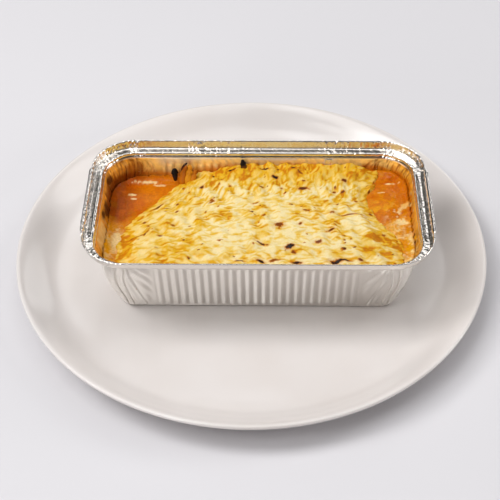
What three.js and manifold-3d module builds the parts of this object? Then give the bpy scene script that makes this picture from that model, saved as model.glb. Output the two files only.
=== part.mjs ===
// A plate of vegetable lasagna: baked pasta and sauce under browned grated cheese, in the ribbed
// foil tray it was baked in, on a wide shallow dinner plate.
// Millimetres, +Z up, +X to the right along the tray, +Y towards its back.
// The origin is on the table, under the centre of the plate.

import * as THREE from "three";
import { mergeVertices } from "three/addons/utils/BufferGeometryUtils.js";
import Module from "manifold-3d";

const wasm = await Module();
wasm.setup();

// Driving dimensions of the plate
const PLATE_RADIUS = 145.2;
const PLATE_HEIGHT = 20;
const PLATE_WELL_TOP = 4.6;
const PLATE_WELL_RADIUS = 112;
const PLATE_FOOT_INNER = 80;
const PLATE_FOOT_OUTER = 86;
const PLATE_RECESS = 1.2;
const PLATE_SEGMENTS = 60;

// Driving dimensions of the foil tray, whose own z starts at its base
const TRAY_HALF_LENGTH = 102.5;
const TRAY_HALF_WIDTH = 56.2;
const TRAY_HEIGHT = 55;
const TRAY_CENTRE_X = 4.2;
const TRAY_CENTRE_Y = -4.7;
const TRAY_CORNER_RADIUS = 26;
const BASE_INSET = 19.7;
const BASE_CORNER_RADIUS = 8.5;
const OPENING_INSET = 7.5;
const OPENING_CORNER_RADIUS = 19;
const LEDGE_Z = 49.4;
const WALL_TOP_Z = 46.4;
const FOIL = 0.5;
const RIB_PITCH = 4.8;
const RIB_DEPTH = 0.5;
const LONG_SIDE_RIBS = 25;
const SHORT_SIDE_RIBS = 9;
const CORNER_STEPS = 12;
const CORNER_PLEAT = 0.3;

// Driving dimensions of the food, in the tray's own z
const GAP = 0.3;
const BED_LEVEL = 37.2;
const BED_SINK = 5.2;
const BED_SWELL = 1.5;
const BED_WAVE = 0.35;
const BED_CELLS_LONG = 21;
const BED_CELLS_WIDE = 9;
const SHEET_LEFT = -84.8;
const SHEET_RIGHT = 87;
const SHEET_HALF_WIDTH = 41.6;
const SHEET_CORNER_RADIUS = 10;
const SHEET_THICKNESS = 1.6;
const CHEESE_THICKNESS = 4.3;
const CHEESE_CELLS_LONG = 47;
const CHEESE_CELLS_WIDE = 21;
const CHEESE_LEAST = 1.4;
const CHEESE_MOUND = 1.1;
const CHEESE_BACK_RISE = 1.3;
const CHEESE_LEFT_THINNING = 1.6;
const CHEESE_RELIEF = 1.1;
const SHRED_COUNT = 18;
const SHRED_HALF_WIDTH = 1.5;
const SHRED_RISE = 0.6;

// Merged shared vertices make a geometry into a solid that can be cut and joined.
function solidFrom(geometry) {
  const bare = geometry.clone();
  bare.deleteAttribute("normal");
  bare.deleteAttribute("uv");
  const merged = mergeVertices(bare, 1e-4);
  const source = merged.index.array;
  const kept = [];
  for (let i = 0; i < source.length; i += 3) {
    const [a, b, c] = [source[i], source[i + 1], source[i + 2]];
    if (a !== b && b !== c && c !== a) kept.push(a, b, c);
  }
  return new wasm.Manifold(
    new wasm.Mesh({
      numProp: 3,
      vertProperties: new Float32Array(merged.attributes.position.array),
      triVerts: new Uint32Array(kept),
    }),
  );
}

// A solid's triangles as a geometry, without the loose scraps that cutting can leave.
function geometryFrom(solid) {
  const bodies = solid.decompose();
  bodies.sort((a, b) => b.volume() - a.volume());
  const mesh = bodies[0].getMesh();
  const count = mesh.numVert;
  const positions = new Float32Array(count * 3);
  for (let i = 0; i < count; i++) {
    for (let axis = 0; axis < 3; axis++) {
      positions[i * 3 + axis] = mesh.vertProperties[i * mesh.numProp + axis];
    }
  }
  const geometry = new THREE.BufferGeometry();
  geometry.setAttribute("position", new THREE.BufferAttribute(positions, 3));
  geometry.setIndex(new THREE.BufferAttribute(new Uint32Array(mesh.triVerts), 1));
  geometry.computeVertexNormals();
  return geometry;
}

// A closed skin through rings of stations, each end closed to the ring's middle.
// Each ring is a list of { key, point }, and rings with fewer stations are sewn by their keys.
function loftRings(rings, keyCount) {
  const positions = [];
  const index = [];
  const starts = [];
  for (const ring of rings) {
    starts.push(positions.length / 3);
    for (const { point } of ring) positions.push(point.x, point.y, point.z);
  }
  const keyAt = (ring, i) => ring[i % ring.length].key + (i >= ring.length ? keyCount : 0);
  for (let level = 0; level + 1 < rings.length; level++) {
    const [low, high] = [rings[level], rings[level + 1]];
    let [i, j] = [0, 0];
    while (i < low.length || j < high.length) {
      const nextLow = i < low.length ? keyAt(low, i + 1) : Infinity;
      const nextHigh = j < high.length ? keyAt(high, j + 1) : Infinity;
      const a = starts[level] + (i % low.length);
      const b = starts[level + 1] + (j % high.length);
      if (nextLow <= nextHigh) {
        i++;
        index.push(a, starts[level] + (i % low.length), b);
      } else {
        j++;
        index.push(a, starts[level + 1] + (j % high.length), b);
      }
    }
  }
  const closeEnd = (level, reversed) => {
    const ring = rings[level];
    const centre = positions.length / 3;
    const middle = new THREE.Vector3();
    for (const { point } of ring) middle.addScaledVector(point, 1 / ring.length);
    positions.push(middle.x, middle.y, middle.z);
    for (let i = 0; i < ring.length; i++) {
      const a = starts[level] + i;
      const b = starts[level] + ((i + 1) % ring.length);
      if (reversed) index.push(centre, b, a);
      else index.push(centre, a, b);
    }
  };
  closeEnd(0, true);
  closeEnd(rings.length - 1, false);
  const geometry = new THREE.BufferGeometry();
  geometry.setAttribute("position", new THREE.Float32BufferAttribute(positions, 3));
  geometry.setIndex(index);
  return geometry;
}

// A closed block between two surfaces over the same grid of s and t, each from 0 to 1.
function gridBlock(cellsS, cellsT, topPoint, bottomPoint) {
  const positions = [];
  const index = [];
  const row = cellsS + 1;
  const layer = row * (cellsT + 1);
  for (const point of [topPoint, bottomPoint]) {
    for (let j = 0; j <= cellsT; j++) {
      for (let i = 0; i <= cellsS; i++) positions.push(...point(i / cellsS, j / cellsT));
    }
  }
  for (let j = 0; j < cellsT; j++) {
    for (let i = 0; i < cellsS; i++) {
      const a = j * row + i;
      const [b, c, d] = [a + 1, a + row + 1, a + row];
      index.push(a, b, c, a, c, d);
      index.push(a + layer, c + layer, b + layer, a + layer, d + layer, c + layer);
    }
  }
  const rim = [];
  for (let i = 0; i < cellsS; i++) rim.push(i);
  for (let j = 0; j < cellsT; j++) rim.push(j * row + cellsS);
  for (let i = cellsS; i > 0; i--) rim.push(cellsT * row + i);
  for (let j = cellsT; j > 0; j--) rim.push(j * row);
  for (let k = 0; k < rim.length; k++) {
    const a = rim[k];
    const b = rim[(k + 1) % rim.length];
    index.push(a, a + layer, b + layer, a, b + layer, b);
  }
  const geometry = new THREE.BufferGeometry();
  geometry.setAttribute("position", new THREE.Float32BufferAttribute(positions, 3));
  geometry.setIndex(index);
  return solidFrom(geometry);
}

// A soft step from 0 to 1 as value goes from low to high.
function softStep(low, high, value) {
  return THREE.MathUtils.smoothstep(value, low, high);
}

// A repeatable row of random numbers from 0 to 1.
function seededRandom(seed) {
  let state = seed;
  return () => {
    state = (state * 1664525 + 1013904223) % 4294967296;
    return state / 4294967296;
  };
}

// The plate: a flat well, a low curved rim, a rounded lip and a foot ring.
function plateGeometry() {
  const profile = [
    [0, PLATE_RECESS],
    [PLATE_FOOT_INNER - 2, PLATE_RECESS],
    [PLATE_FOOT_INNER, 0],
    [PLATE_FOOT_OUTER, 0],
    [PLATE_FOOT_OUTER + 3, 2],
    [PLATE_WELL_RADIUS + 7, 2.8],
    [131, 7.4],
    [139, 13.2],
    [PLATE_RADIUS - 0.7, PLATE_HEIGHT - 3.2],
    [PLATE_RADIUS, PLATE_HEIGHT - 1.4],
    [PLATE_RADIUS - 0.6, PLATE_HEIGHT - 0.2],
    [PLATE_RADIUS - 1.8, PLATE_HEIGHT],
    [137, 15.9],
    [130.5, 10.4],
    [124, 6.4],
    [118, 4.9],
    [PLATE_WELL_RADIUS, PLATE_WELL_TOP],
    [0, PLATE_WELL_TOP],
  ];
  const points = profile.map(([radius, z]) => new THREE.Vector2(radius, z));
  const turned = new THREE.LatheGeometry(points, PLATE_SEGMENTS);
  turned.rotateX(Math.PI / 2);
  return geometryFrom(solidFrom(turned));
}

// Stations round a rounded rectangle. Ribs keep their x or y at every level, so they stand upright.
function trayStations() {
  const stations = [];
  const alternate = (k, count) => (k === 0 || k === count ? 0 : k % 2 ? 1 : -1);
  const addSide = (side, ribs) => {
    const steps = ribs * 2;
    for (let k = 0; k <= steps; k++) {
      const along = (k - steps / 2) * (RIB_PITCH / 2);
      stations.push({ side, along, rib: alternate(k, steps) });
    }
  };
  const addCorner = (corner) => {
    for (let k = 0; k <= CORNER_STEPS; k++) {
      stations.push({ corner, turn: k / CORNER_STEPS, rib: alternate(k, CORNER_STEPS) });
    }
  };
  addSide(0, LONG_SIDE_RIBS);
  addCorner(0);
  addSide(1, SHORT_SIDE_RIBS);
  addCorner(1);
  addSide(2, LONG_SIDE_RIBS);
  addCorner(2);
  addSide(3, SHORT_SIDE_RIBS);
  addCorner(3);
  return stations.map((station, key) => ({ ...station, key }));
}
const STATIONS = trayStations();
const CORNER_STATIONS = STATIONS.filter(({ corner }) => corner !== undefined);

// A station's point on a level of the tray: the level's inset from the outermost rim, its corner
// radius and height, and how far its ribs and the pleats of its corners stand out.
function stationPoint(station, inset, radius, z, ribDepth, pleat) {
  const halfLength = TRAY_HALF_LENGTH - inset;
  const halfWidth = TRAY_HALF_WIDTH - inset;
  const { side, along, corner, turn, rib } = station;
  const push = rib * ribDepth;
  if (side === 0) return new THREE.Vector3(along, -halfWidth - push, z);
  if (side === 1) return new THREE.Vector3(halfLength + push, along, z);
  if (side === 2) return new THREE.Vector3(-along, halfWidth + push, z);
  if (side === 3) return new THREE.Vector3(-halfLength - push, -along, z);
  const angle = (corner - 1 + turn) * (Math.PI / 2);
  const signX = corner === 0 || corner === 1 ? 1 : -1;
  const signY = corner === 1 || corner === 2 ? 1 : -1;
  const reach = radius + rib * pleat;
  return new THREE.Vector3(
    signX * (halfLength - radius) + reach * Math.cos(angle),
    signY * (halfWidth - radius) + reach * Math.sin(angle),
    z,
  );
}

// One level of the tray. A level with no ribs needs only the stations of its corners.
function trayRing(inset, radius, z, { ribbed = false, ribDepth = 0, pleat = 0 } = {}) {
  const stations = ribbed ? STATIONS : CORNER_STATIONS;
  return stations.map((station) => ({
    key: station.key,
    point: stationPoint(station, inset, radius, z, ribDepth, pleat),
  }));
}

// The inset and corner radius of the wall's outer face at a height.
function wallAt(z) {
  const share = THREE.MathUtils.clamp(z / WALL_TOP_Z, 0, 1);
  return {
    inset: THREE.MathUtils.lerp(BASE_INSET, OPENING_INSET - FOIL, share),
    radius: THREE.MathUtils.lerp(BASE_CORNER_RADIUS, OPENING_CORNER_RADIUS, share),
  };
}

// The foil tray: base, sloping ribbed walls, shoulder, flat ledge, upright flange and folded hem.
function trayGeometry() {
  const ribFoot = 3.4;
  const ribTop = WALL_TOP_Z - 3.6;
  const ribEnd = 1.6;
  const flangeLean = 1.6;
  const shoulder = 1.6;
  const rings = [];
  const pleats = { pleat: CORNER_PLEAT };
  const add = (inset, radius, z, options) => rings.push(trayRing(inset, radius, z, options));
  const addWall = (z, thickness, options) => {
    const wall = wallAt(z);
    add(wall.inset + thickness, wall.radius - thickness, z, options);
  };
  const plain = { ribbed: true, ...pleats };
  const ribs = { ribbed: true, ribDepth: RIB_DEPTH, ...pleats };
  // Outside, from the base up to the hem
  add(BASE_INSET + 0.9, BASE_CORNER_RADIUS - 0.9, 0);
  addWall(0.9, 0);
  addWall(ribFoot - ribEnd, 0, plain);
  addWall(ribFoot, 0, ribs);
  addWall(ribTop, 0, ribs);
  addWall(ribTop + ribEnd, 0, plain);
  addWall(WALL_TOP_Z, 0);
  add(OPENING_INSET - shoulder - FOIL, OPENING_CORNER_RADIUS + 2, LEDGE_Z - FOIL, pleats);
  add(flangeLean, TRAY_CORNER_RADIUS - flangeLean, LEDGE_Z - FOIL, pleats);
  add(0.6, TRAY_CORNER_RADIUS - 0.6, TRAY_HEIGHT - 1.7, pleats);
  add(0, TRAY_CORNER_RADIUS, TRAY_HEIGHT - 1.3);
  add(0, TRAY_CORNER_RADIUS, TRAY_HEIGHT - 0.3);
  // Inside, from the hem down to the base
  add(0.5, TRAY_CORNER_RADIUS - 0.5, TRAY_HEIGHT);
  add(1.3, TRAY_CORNER_RADIUS - 1.3, TRAY_HEIGHT - 0.4);
  add(flangeLean + FOIL, TRAY_CORNER_RADIUS - flangeLean - FOIL, LEDGE_Z, pleats);
  add(OPENING_INSET - shoulder, OPENING_CORNER_RADIUS + 1.6, LEDGE_Z, pleats);
  addWall(WALL_TOP_Z, FOIL);
  addWall(ribTop + ribEnd, FOIL, plain);
  addWall(ribTop, FOIL, ribs);
  addWall(ribFoot, FOIL, ribs);
  addWall(ribFoot - ribEnd, FOIL, plain);
  addWall(FOIL, FOIL + 0.6);
  return geometryFrom(solidFrom(loftRings(rings, STATIONS.length)));
}

// The ribs' inner crests bound the room that the food has at a height.
function foodRoom(z) {
  const wall = wallAt(z);
  const clear = FOIL + RIB_DEPTH + GAP;
  return { inset: wall.inset + clear, radius: wall.radius - clear };
}

// Level of the bed that the cheese lies on. It sinks at the left end and in the left back corner,
// swells a little at the right end, and is uneven all over.
function bedTop(x, y) {
  const corner = softStep(0, 34, 0.75 * (-36 - x) + 0.66 * (y - 10));
  const end = softStep(60, 82, -x);
  const sink = BED_SINK * (1 - (1 - corner) * (1 - end));
  const swell = BED_SWELL * Math.exp(-(((x - 79) / 10) ** 2) - ((y - 17) / 14) ** 2);
  const waves = BED_WAVE * Math.sin(x / 11 + 0.6) * Math.cos(y / 9 - 0.4);
  return BED_LEVEL - sink + swell + waves;
}

// Everything below the bed, raised by an amount.
function underBed(raise) {
  const farBelow = -20;
  const place = (s, t) => [(2 * s - 1) * TRAY_HALF_LENGTH, (2 * t - 1) * TRAY_HALF_WIDTH];
  const top = (s, t) => {
    const [x, y] = place(s, t);
    return [x, y, bedTop(x, y) + raise];
  };
  const bottom = (s, t) => [...place(s, t), farBelow];
  return gridBlock(BED_CELLS_LONG, BED_CELLS_WIDE, top, bottom);
}

// An upright block with the pasta sheet's rounded outline, grown by an amount all round.
function sheetBlock(grow) {
  const [left, right] = [SHEET_LEFT - grow, SHEET_RIGHT + grow];
  const half = SHEET_HALF_WIDTH + grow;
  const radius = SHEET_CORNER_RADIUS + grow;
  const outline = new THREE.Shape();
  outline.moveTo(left + radius, -half);
  outline.absarc(right - radius, -half + radius, radius, -Math.PI / 2, 0);
  outline.absarc(right - radius, half - radius, radius, 0, Math.PI / 2);
  outline.absarc(left + radius, half - radius, radius, Math.PI / 2, Math.PI);
  outline.absarc(left + radius, -half + radius, radius, Math.PI, Math.PI * 1.5);
  const depth = 2 * BED_LEVEL;
  const block = new THREE.ExtrudeGeometry(outline, { depth, bevelEnabled: false, curveSegments: 5 });
  return solidFrom(block);
}

// The top pasta sheet: one wavy sheet under the cheese that shows at both ends of the tray.
function sheetSolid(grow) {
  const above = underBed(grow);
  const below = underBed(-SHEET_THICKNESS - grow);
  return sheetBlock(grow).intersect(above).subtract(below);
}

// The baked body of pasta, vegetables and sauce, out to the tray's walls and round the sheet.
function fillingSolid() {
  const foot = 1.2;
  const low = foodRoom(FOIL + GAP);
  const high = foodRoom(WALL_TOP_Z);
  const rings = [
    trayRing(low.inset + foot, low.radius, FOIL + GAP),
    trayRing(high.inset, high.radius, WALL_TOP_Z),
  ];
  const body = solidFrom(loftRings(rings, STATIONS.length));
  const sauceDrop = 0.5;
  return body.intersect(underBed(-sauceDrop)).subtract(sheetSolid(GAP));
}

// Left and right edges of the cheese, as x at even shares of the tray's width from front to back.
const CHEESE_LEFT_EDGE = [-79, -83, -84.5, -84, -80, -72, -63, -55, -47];
const CHEESE_RIGHT_EDGE = [70, 79, 82, 79, 73, 70, 68, 69, 75];

// The value of an evenly spaced edge at share t, on a smooth curve through it.
function edgeAt(values, t) {
  const curve = new THREE.SplineCurve(values.map((v, k) => new THREE.Vector2(k, v)));
  return curve.getPoint(t).y;
}

// Lumps and furrows of melted grated cheese: many short ripples in all directions.
function makeRipples(count, seed) {
  const random = seededRandom(seed);
  const ripples = [];
  for (let k = 0; k < count; k++) {
    const angle = random() * Math.PI;
    const wavelength = 6 + 11 * random();
    const turns = (2 * Math.PI) / wavelength;
    ripples.push([Math.cos(angle) * turns, Math.sin(angle) * turns, random() * 6.3]);
  }
  return (x, y) => {
    let sum = 0;
    for (const [kx, ky, phase] of ripples) sum += Math.sin(kx * x + ky * y + phase);
    return sum / Math.sqrt(count);
  };
}
const ripple = makeRipples(14, 11);

// Height of the cheese over the tray's base, thinned towards its free ends by a share.
function cheeseTop(x, y, share) {
  const mound = CHEESE_MOUND * Math.exp(-((x / 60) ** 2) - (y / 30) ** 2);
  const back = CHEESE_BACK_RISE * softStep(28, 42, y) * softStep(-30, 0, x);
  const thinLeft = CHEESE_LEFT_THINNING * softStep(50, 80, -x);
  const thickness = CHEESE_THICKNESS + mound + back - thinLeft + CHEESE_RELIEF * ripple(x, y);
  return bedTop(x, y) + Math.max(thickness, CHEESE_LEAST) * share;
}

// Place over the tray of a point of the cheese, by shares of its length and width, at a height.
function cheesePlace(s, t, z) {
  const left = edgeAt(CHEESE_LEFT_EDGE, t);
  const right = edgeAt(CHEESE_RIGHT_EDGE, t);
  const x = THREE.MathUtils.lerp(left, right, s);
  const { inset, radius } = foodRoom(z);
  const halfLength = TRAY_HALF_LENGTH - inset;
  const halfWidth = TRAY_HALF_WIDTH - inset;
  const past = Math.max(Math.abs(x) - (halfLength - radius), 0);
  const reach = halfWidth - radius + Math.sqrt(Math.max(radius ** 2 - past ** 2, 0));
  return [x, (2 * t - 1) * reach];
}

// A grated shred: a slim bent bar laid along a line, pointed at both ends.
function shredSolid(points, halfWidth) {
  const curve = new THREE.CatmullRomCurve3(points);
  const steps = 4;
  const sides = 4;
  const rings = [];
  for (let k = 0; k <= steps; k++) {
    const share = k / steps;
    const centre = curve.getPoint(share);
    const along = curve.getTangent(share);
    const across = new THREE.Vector3(-along.y, along.x, 0).normalize();
    const over = new THREE.Vector3().crossVectors(along, across).normalize();
    const size = halfWidth * (0.5 + 0.5 * Math.sin(Math.PI * share));
    const ring = [];
    for (let j = 0; j < sides; j++) {
      const angle = ((j + 0.5) / sides) * 2 * Math.PI;
      const point = centre.clone();
      point.addScaledVector(across, size * Math.cos(angle));
      point.addScaledVector(over, size * Math.sin(angle));
      ring.push({ key: j, point });
    }
    rings.push(ring);
  }
  return solidFrom(loftRings(rings, sides));
}

// Scorched curls of cheese that stand up against the back wall, from their roots to their tips.
const SCORCHED_CURLS = [
  {
    path: [
      [-8, 43, 39],
      [-8.8, 44.9, 42.5],
      [-9.3, 45.9, 45.8],
    ],
    halfWidth: 1.5,
  },
  {
    path: [
      [-44, 39.5, 35],
      [-43.4, 41.6, 40],
      [-42, 43.2, 45],
    ],
    halfWidth: 1.9,
  },
  {
    path: [
      [-48, 40, 33.5],
      [-51, 42, 36.5],
      [-52.5, 43, 40],
    ],
    halfWidth: 1.5,
  },
];

// Shreds laid over the cheese at an even spread of places, each turned and bent by chance.
function shredPaths() {
  const random = seededRandom(5);
  const paths = [];
  for (let k = 0; k < SHRED_COUNT; k++) {
    const s = 0.1 + (0.8 * (k + random())) / SHRED_COUNT;
    const t = 0.1 + 0.8 * ((k * 0.618 + 0.1 * random()) % 1);
    const [x, y] = cheesePlace(s, t, BED_LEVEL);
    const heading = (random() - 0.5) * 1.6;
    const length = 11 + 8 * random();
    const bend = (random() - 0.5) * 4;
    const path = [-0.5, 0, 0.5].map((share) => {
      const px = x + share * length * Math.cos(heading) - (0.25 - share * share) * bend;
      const py = y + share * length * Math.sin(heading) + (0.25 - share * share) * bend * 2;
      const safeY = THREE.MathUtils.clamp(py, -41, 41);
      return new THREE.Vector3(px, safeY, cheeseTop(px, safeY, 1) + SHRED_RISE);
    });
    paths.push(path);
  }
  return paths;
}

// The browned cheese: one uneven layer with shreds and a few scorched curls standing on it.
function cheeseSolid() {
  const endShare = (s) => 0.3 + 0.7 * softStep(0, 0.1, Math.min(s, 1 - s));
  const top = (s, t) => {
    const z = cheeseTop(...cheesePlace(s, t, BED_LEVEL), endShare(s));
    return [...cheesePlace(s, t, z), z];
  };
  const bottomZ = BED_LEVEL - 12;
  const bottom = (s, t) => [...cheesePlace(s, t, bottomZ), bottomZ];
  let solid = gridBlock(CHEESE_CELLS_LONG, CHEESE_CELLS_WIDE, top, bottom);
  for (const path of shredPaths()) solid = solid.add(shredSolid(path, SHRED_HALF_WIDTH));
  for (const { path, halfWidth } of SCORCHED_CURLS) {
    const points = path.map((p) => new THREE.Vector3(...p));
    solid = solid.add(shredSolid(points, halfWidth));
  }
  return solid.subtract(underBed(GAP));
}

const stoneware = new THREE.MeshStandardMaterial({ color: 0xe2dad4, roughness: 0.35, metalness: 0 });
const foil = new THREE.MeshStandardMaterial({ color: 0xc9c7c5, roughness: 0.3, metalness: 1 });
const sauce = new THREE.MeshStandardMaterial({ color: 0xc26a16, roughness: 0.4, metalness: 0 });
const pasta = new THREE.MeshStandardMaterial({ color: 0xd07c22, roughness: 0.3, metalness: 0 });
const cheese = new THREE.MeshStandardMaterial({ color: 0xefcf7c, roughness: 0.55, metalness: 0 });

function namedMesh(name, geometry, material) {
  const mesh = new THREE.Mesh(geometry, material);
  mesh.name = name;
  return mesh;
}

const model = new THREE.Group();
model.add(namedMesh("plate", plateGeometry(), stoneware));

const trayAndFood = new THREE.Group();
trayAndFood.position.set(TRAY_CENTRE_X, TRAY_CENTRE_Y, PLATE_WELL_TOP + GAP);
trayAndFood.add(namedMesh("foil_tray", trayGeometry(), foil));
trayAndFood.add(namedMesh("lasagna_filling", geometryFrom(fillingSolid()), sauce));
trayAndFood.add(namedMesh("pasta_sheet", geometryFrom(sheetSolid(0)), pasta));
trayAndFood.add(namedMesh("cheese_topping", geometryFrom(cheeseSolid()), cheese));
model.add(trayAndFood);

export default model;
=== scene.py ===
"""A plate of vegetable lasagna under browned grated cheese, in the foil tray it was baked in.

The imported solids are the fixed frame. Each of them is replaced by a finely worked piece of the
same form. Sizes are millimetres in the tray's own frame, whose origin is the middle of the
tray's base, +X to the right along the tray and +Y towards its back, or in the plate's frame,
whose origin is on the table under the plate's centre.
"""

from __future__ import annotations

import logging
from collections.abc import Callable, Iterator
from dataclasses import dataclass, field
from enum import Enum
from typing import Any

import bpy
import numpy as np
from mathutils import Matrix, Vector

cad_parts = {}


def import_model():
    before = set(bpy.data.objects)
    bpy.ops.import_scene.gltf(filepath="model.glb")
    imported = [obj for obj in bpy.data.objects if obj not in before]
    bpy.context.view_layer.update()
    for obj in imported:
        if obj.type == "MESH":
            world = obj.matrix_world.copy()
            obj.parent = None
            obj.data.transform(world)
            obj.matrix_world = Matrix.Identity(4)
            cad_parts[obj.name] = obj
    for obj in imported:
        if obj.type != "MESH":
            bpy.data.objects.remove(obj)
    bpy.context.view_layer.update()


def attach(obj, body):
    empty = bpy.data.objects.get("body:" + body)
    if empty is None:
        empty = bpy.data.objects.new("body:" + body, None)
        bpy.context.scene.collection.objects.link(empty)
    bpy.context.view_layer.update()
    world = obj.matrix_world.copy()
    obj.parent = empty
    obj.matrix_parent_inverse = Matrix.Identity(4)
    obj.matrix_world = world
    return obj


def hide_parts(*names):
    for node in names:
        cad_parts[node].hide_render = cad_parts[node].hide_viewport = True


Array = np.ndarray
Colour = tuple[float, float, float, float]
Surface = Callable[[Array, Array], Array]
Tree = bpy.types.NodeTree
Piece = bpy.types.Object
Material = bpy.types.Material
Sockets = dict[str, Any]
Stroke = tuple[int, tuple[slice, slice], Array, Array]

LOG = logging.getLogger("lasagna")
TAU = 2 * np.pi

# A millimetre in metres
MM = 0.001

# Numbers in the lattice of a random field, after which the field repeats
LATTICE = (1024, 256)

# The range that a noise texture keeps within nearly everywhere
USUAL_NOISE = {"From Min": 0.3, "From Max": 0.7}


class Solid(Enum):
    """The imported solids: each one's node, and its finish's slot, which nothing here reads."""

    PLATE = ("plate", "stoneware")
    TRAY = ("foil_tray", "foil")
    FILLING = ("lasagna_filling", "sauce")
    PASTA = ("pasta_sheet", "pasta")
    CHEESE = ("cheese_topping", "cheese")


# Numbers


def linear_colour(code: str) -> Colour:
    """Turns an sRGB hex colour into linear light by the standard's own curve.

    Args:
        code: The colour as "#RRGGBB".

    Returns:
        Red, green and blue in linear light, and an alpha of 1.
    """
    parts = [int(code[k : k + 2], 16) / 255 for k in (1, 3, 5)]
    linear = [p / 12.92 if p <= 0.04045 else ((p + 0.055) / 1.055) ** 2.4 for p in parts]
    return (linear[0], linear[1], linear[2], 1.0)


def painted(base: str, *coats: tuple[str, Array]) -> Array:
    """Lays coats of colour over a base.

    Args:
        base: Colour of the base.
        coats: Colour of each coat from the lowest up, and its share at each place.

    Returns:
        Colours in linear light, one row a place.
    """
    colours = np.array(linear_colour(base))
    for code, share in coats:
        colours = mix(colours, np.array(linear_colour(code)), share[:, None])
    return colours


def smooth_step(low: float, high: float, value: Array) -> Array:
    """Rises from 0 at low to 1 at high as 3s² − 2s³.

    Args:
        low: Where the step starts.
        high: Where it ends.
        value: The numbers that it is taken of.

    Returns:
        The step at each value.
    """
    share = np.clip((np.asarray(value, float) - low) / (high - low), 0, 1)
    return share * share * (3 - 2 * share)


def mix(low: Array, high: Array, share: Array) -> Array:
    """Goes from low at share 0 to high at share 1 in a straight line."""
    return low + (high - low) * share


def bell(value: Array, width: float) -> Array:
    """Is the bell curve exp(−(value / width)²)."""
    return np.exp(-((value / width) ** 2))


def lattice_noise(
    x: Array, y: Array, cell: tuple[float, float], seed: int, around: int = LATTICE[0]
) -> Array:
    """Is a smooth random field from −1 to 1.

    A lattice of seeded random numbers is blended across each cell by the fade 6f⁵ − 15f⁴ + 10f³.

    Args:
        x: First coordinates.
        y: Second coordinates.
        cell: Size of a lattice cell along each coordinate.
        seed: Picks the random numbers.
        around: Cells after which the field repeats along the first coordinate.

    Returns:
        The field at each place.
    """
    table = np.random.default_rng(seed).uniform(-1, 1, LATTICE)
    across, along = np.broadcast_arrays(x / cell[0], y / cell[1])
    i, j = np.floor(across).astype(int), np.floor(along).astype(int)
    f, g = across - i, along - j
    f = f * f * f * (f * (f * 6 - 15) + 10)
    g = g * g * g * (g * (g * 6 - 15) + 10)
    left, right = i % around, (i + 1) % around
    front, back = j % LATTICE[1], (j + 1) % LATTICE[1]
    near = mix(table[left, front], table[right, front], f)
    far = mix(table[left, back], table[right, back], f)
    return mix(near, far, g)


def cloud_noise(x: Array, y: Array, cell: float, seed: int, octaves: int = 3) -> Array:
    """Adds up lattice noise, each octave with half the cell and half the strength.

    The sum is divided by 1.5, the reach that it usually has.

    Args:
        x: First coordinates.
        y: Second coordinates.
        cell: Size of the largest cell.
        seed: Picks the random numbers.
        octaves: How many sizes are added.

    Returns:
        The sum, about −1 to 1.
    """
    total = np.zeros(np.broadcast(x, y).shape)
    for k in range(octaves):
        size = cell / 2**k
        total += lattice_noise(x, y, (size, size), seed + k) / 2**k
    return total / 1.5


def through(values: tuple[float, ...], share: Array) -> Array:
    """Is a smooth curve through evenly spaced values.

    Each span is the Catmull-Rom cubic of the two values at its ends and the two beyond them.

    Args:
        values: The values, at even shares from 0 to 1.
        share: Where the curve is read.

    Returns:
        The curve at each share.
    """
    padded = np.array([values[0], *values, values[-1]], float)
    place = np.clip(share, 0, 1) * (len(values) - 1)
    k = np.minimum(np.floor(place).astype(int), len(values) - 2)
    t = place - k
    a, b, c, d = (padded[k + n] for n in range(4))
    slope_in, slope_out = (c - a) / 2, (d - b) / 2
    cubic = 2 * b - 2 * c + slope_in + slope_out
    square = -3 * b + 3 * c - 2 * slope_in - slope_out
    return ((cubic * t + square) * t + slope_in) * t + b


def rounded_line(points: tuple[tuple[float, ...], ...], trim: float, steps: int) -> Array:
    """Rounds the corners of a line of points.

    Each inner corner becomes a parabola between two points on its sides, trim away from the
    corner or half way along the side where that is nearer.

    Args:
        points: The line's corners.
        trim: How far a rounding reaches along the sides.
        steps: Points on each rounding.

    Returns:
        The rounded line, one row a point.
    """
    line = np.array(points, float)
    before, corner, after = line[:-2], line[1:-1], line[2:]
    back, ahead = before - corner, after - corner
    back_length = np.linalg.norm(back, axis=1, keepdims=True)
    ahead_length = np.linalg.norm(ahead, axis=1, keepdims=True)
    start = corner + back * np.minimum(trim / back_length, 0.5)
    end = corner + ahead * np.minimum(trim / ahead_length, 0.5)
    t = np.linspace(0, 1, steps)[None, :, None]
    curve = (1 - t) ** 2 * start[:, None] + 2 * t * (1 - t) * corner[:, None]
    curve = curve + t**2 * end[:, None]
    return np.vstack([line[:1], curve.reshape(-1, line.shape[1]), line[-1:]])


def spread_along(line: Array, count: int, turn_worth: float) -> Array:
    """Takes points of a line, closer together where it turns.

    Args:
        line: The line, one row a point.
        count: How many points are taken.
        turn_worth: Length that a turn of one radian counts as.

    Returns:
        The points taken, the first and the last of the line among them.
    """
    step = np.diff(line, axis=0)
    length = np.linalg.norm(step, axis=1)
    kept = np.concatenate([[True], length > 1e-6])
    line, step, length = line[kept], step[kept[1:]], length[kept[1:]]
    unit = step / length[:, None]
    turn = np.arccos(np.clip(np.sum(unit[1:] * unit[:-1], axis=1), -1, 1))
    worth = length.copy()
    worth[1:] += turn_worth * turn / 2
    worth[:-1] += turn_worth * turn / 2
    reach = np.concatenate([[0], np.cumsum(worth)])
    wanted = np.linspace(0, reach[-1], count)
    return np.stack([np.interp(wanted, reach, line[:, k]) for k in range(line.shape[1])], axis=1)


# Meshes


@dataclass
class Skin:
    """A piece's surface before it is a mesh.

    Attributes:
        points: Places of its vertices in millimetres, one row each.
        faces: Groups of faces with the same number of corners, one array a group.
        tints: Colours in linear light, one row a vertex, by name.
    """

    points: Array
    faces: list[Array]
    tints: dict[str, Array] = field(default_factory=dict)


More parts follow.
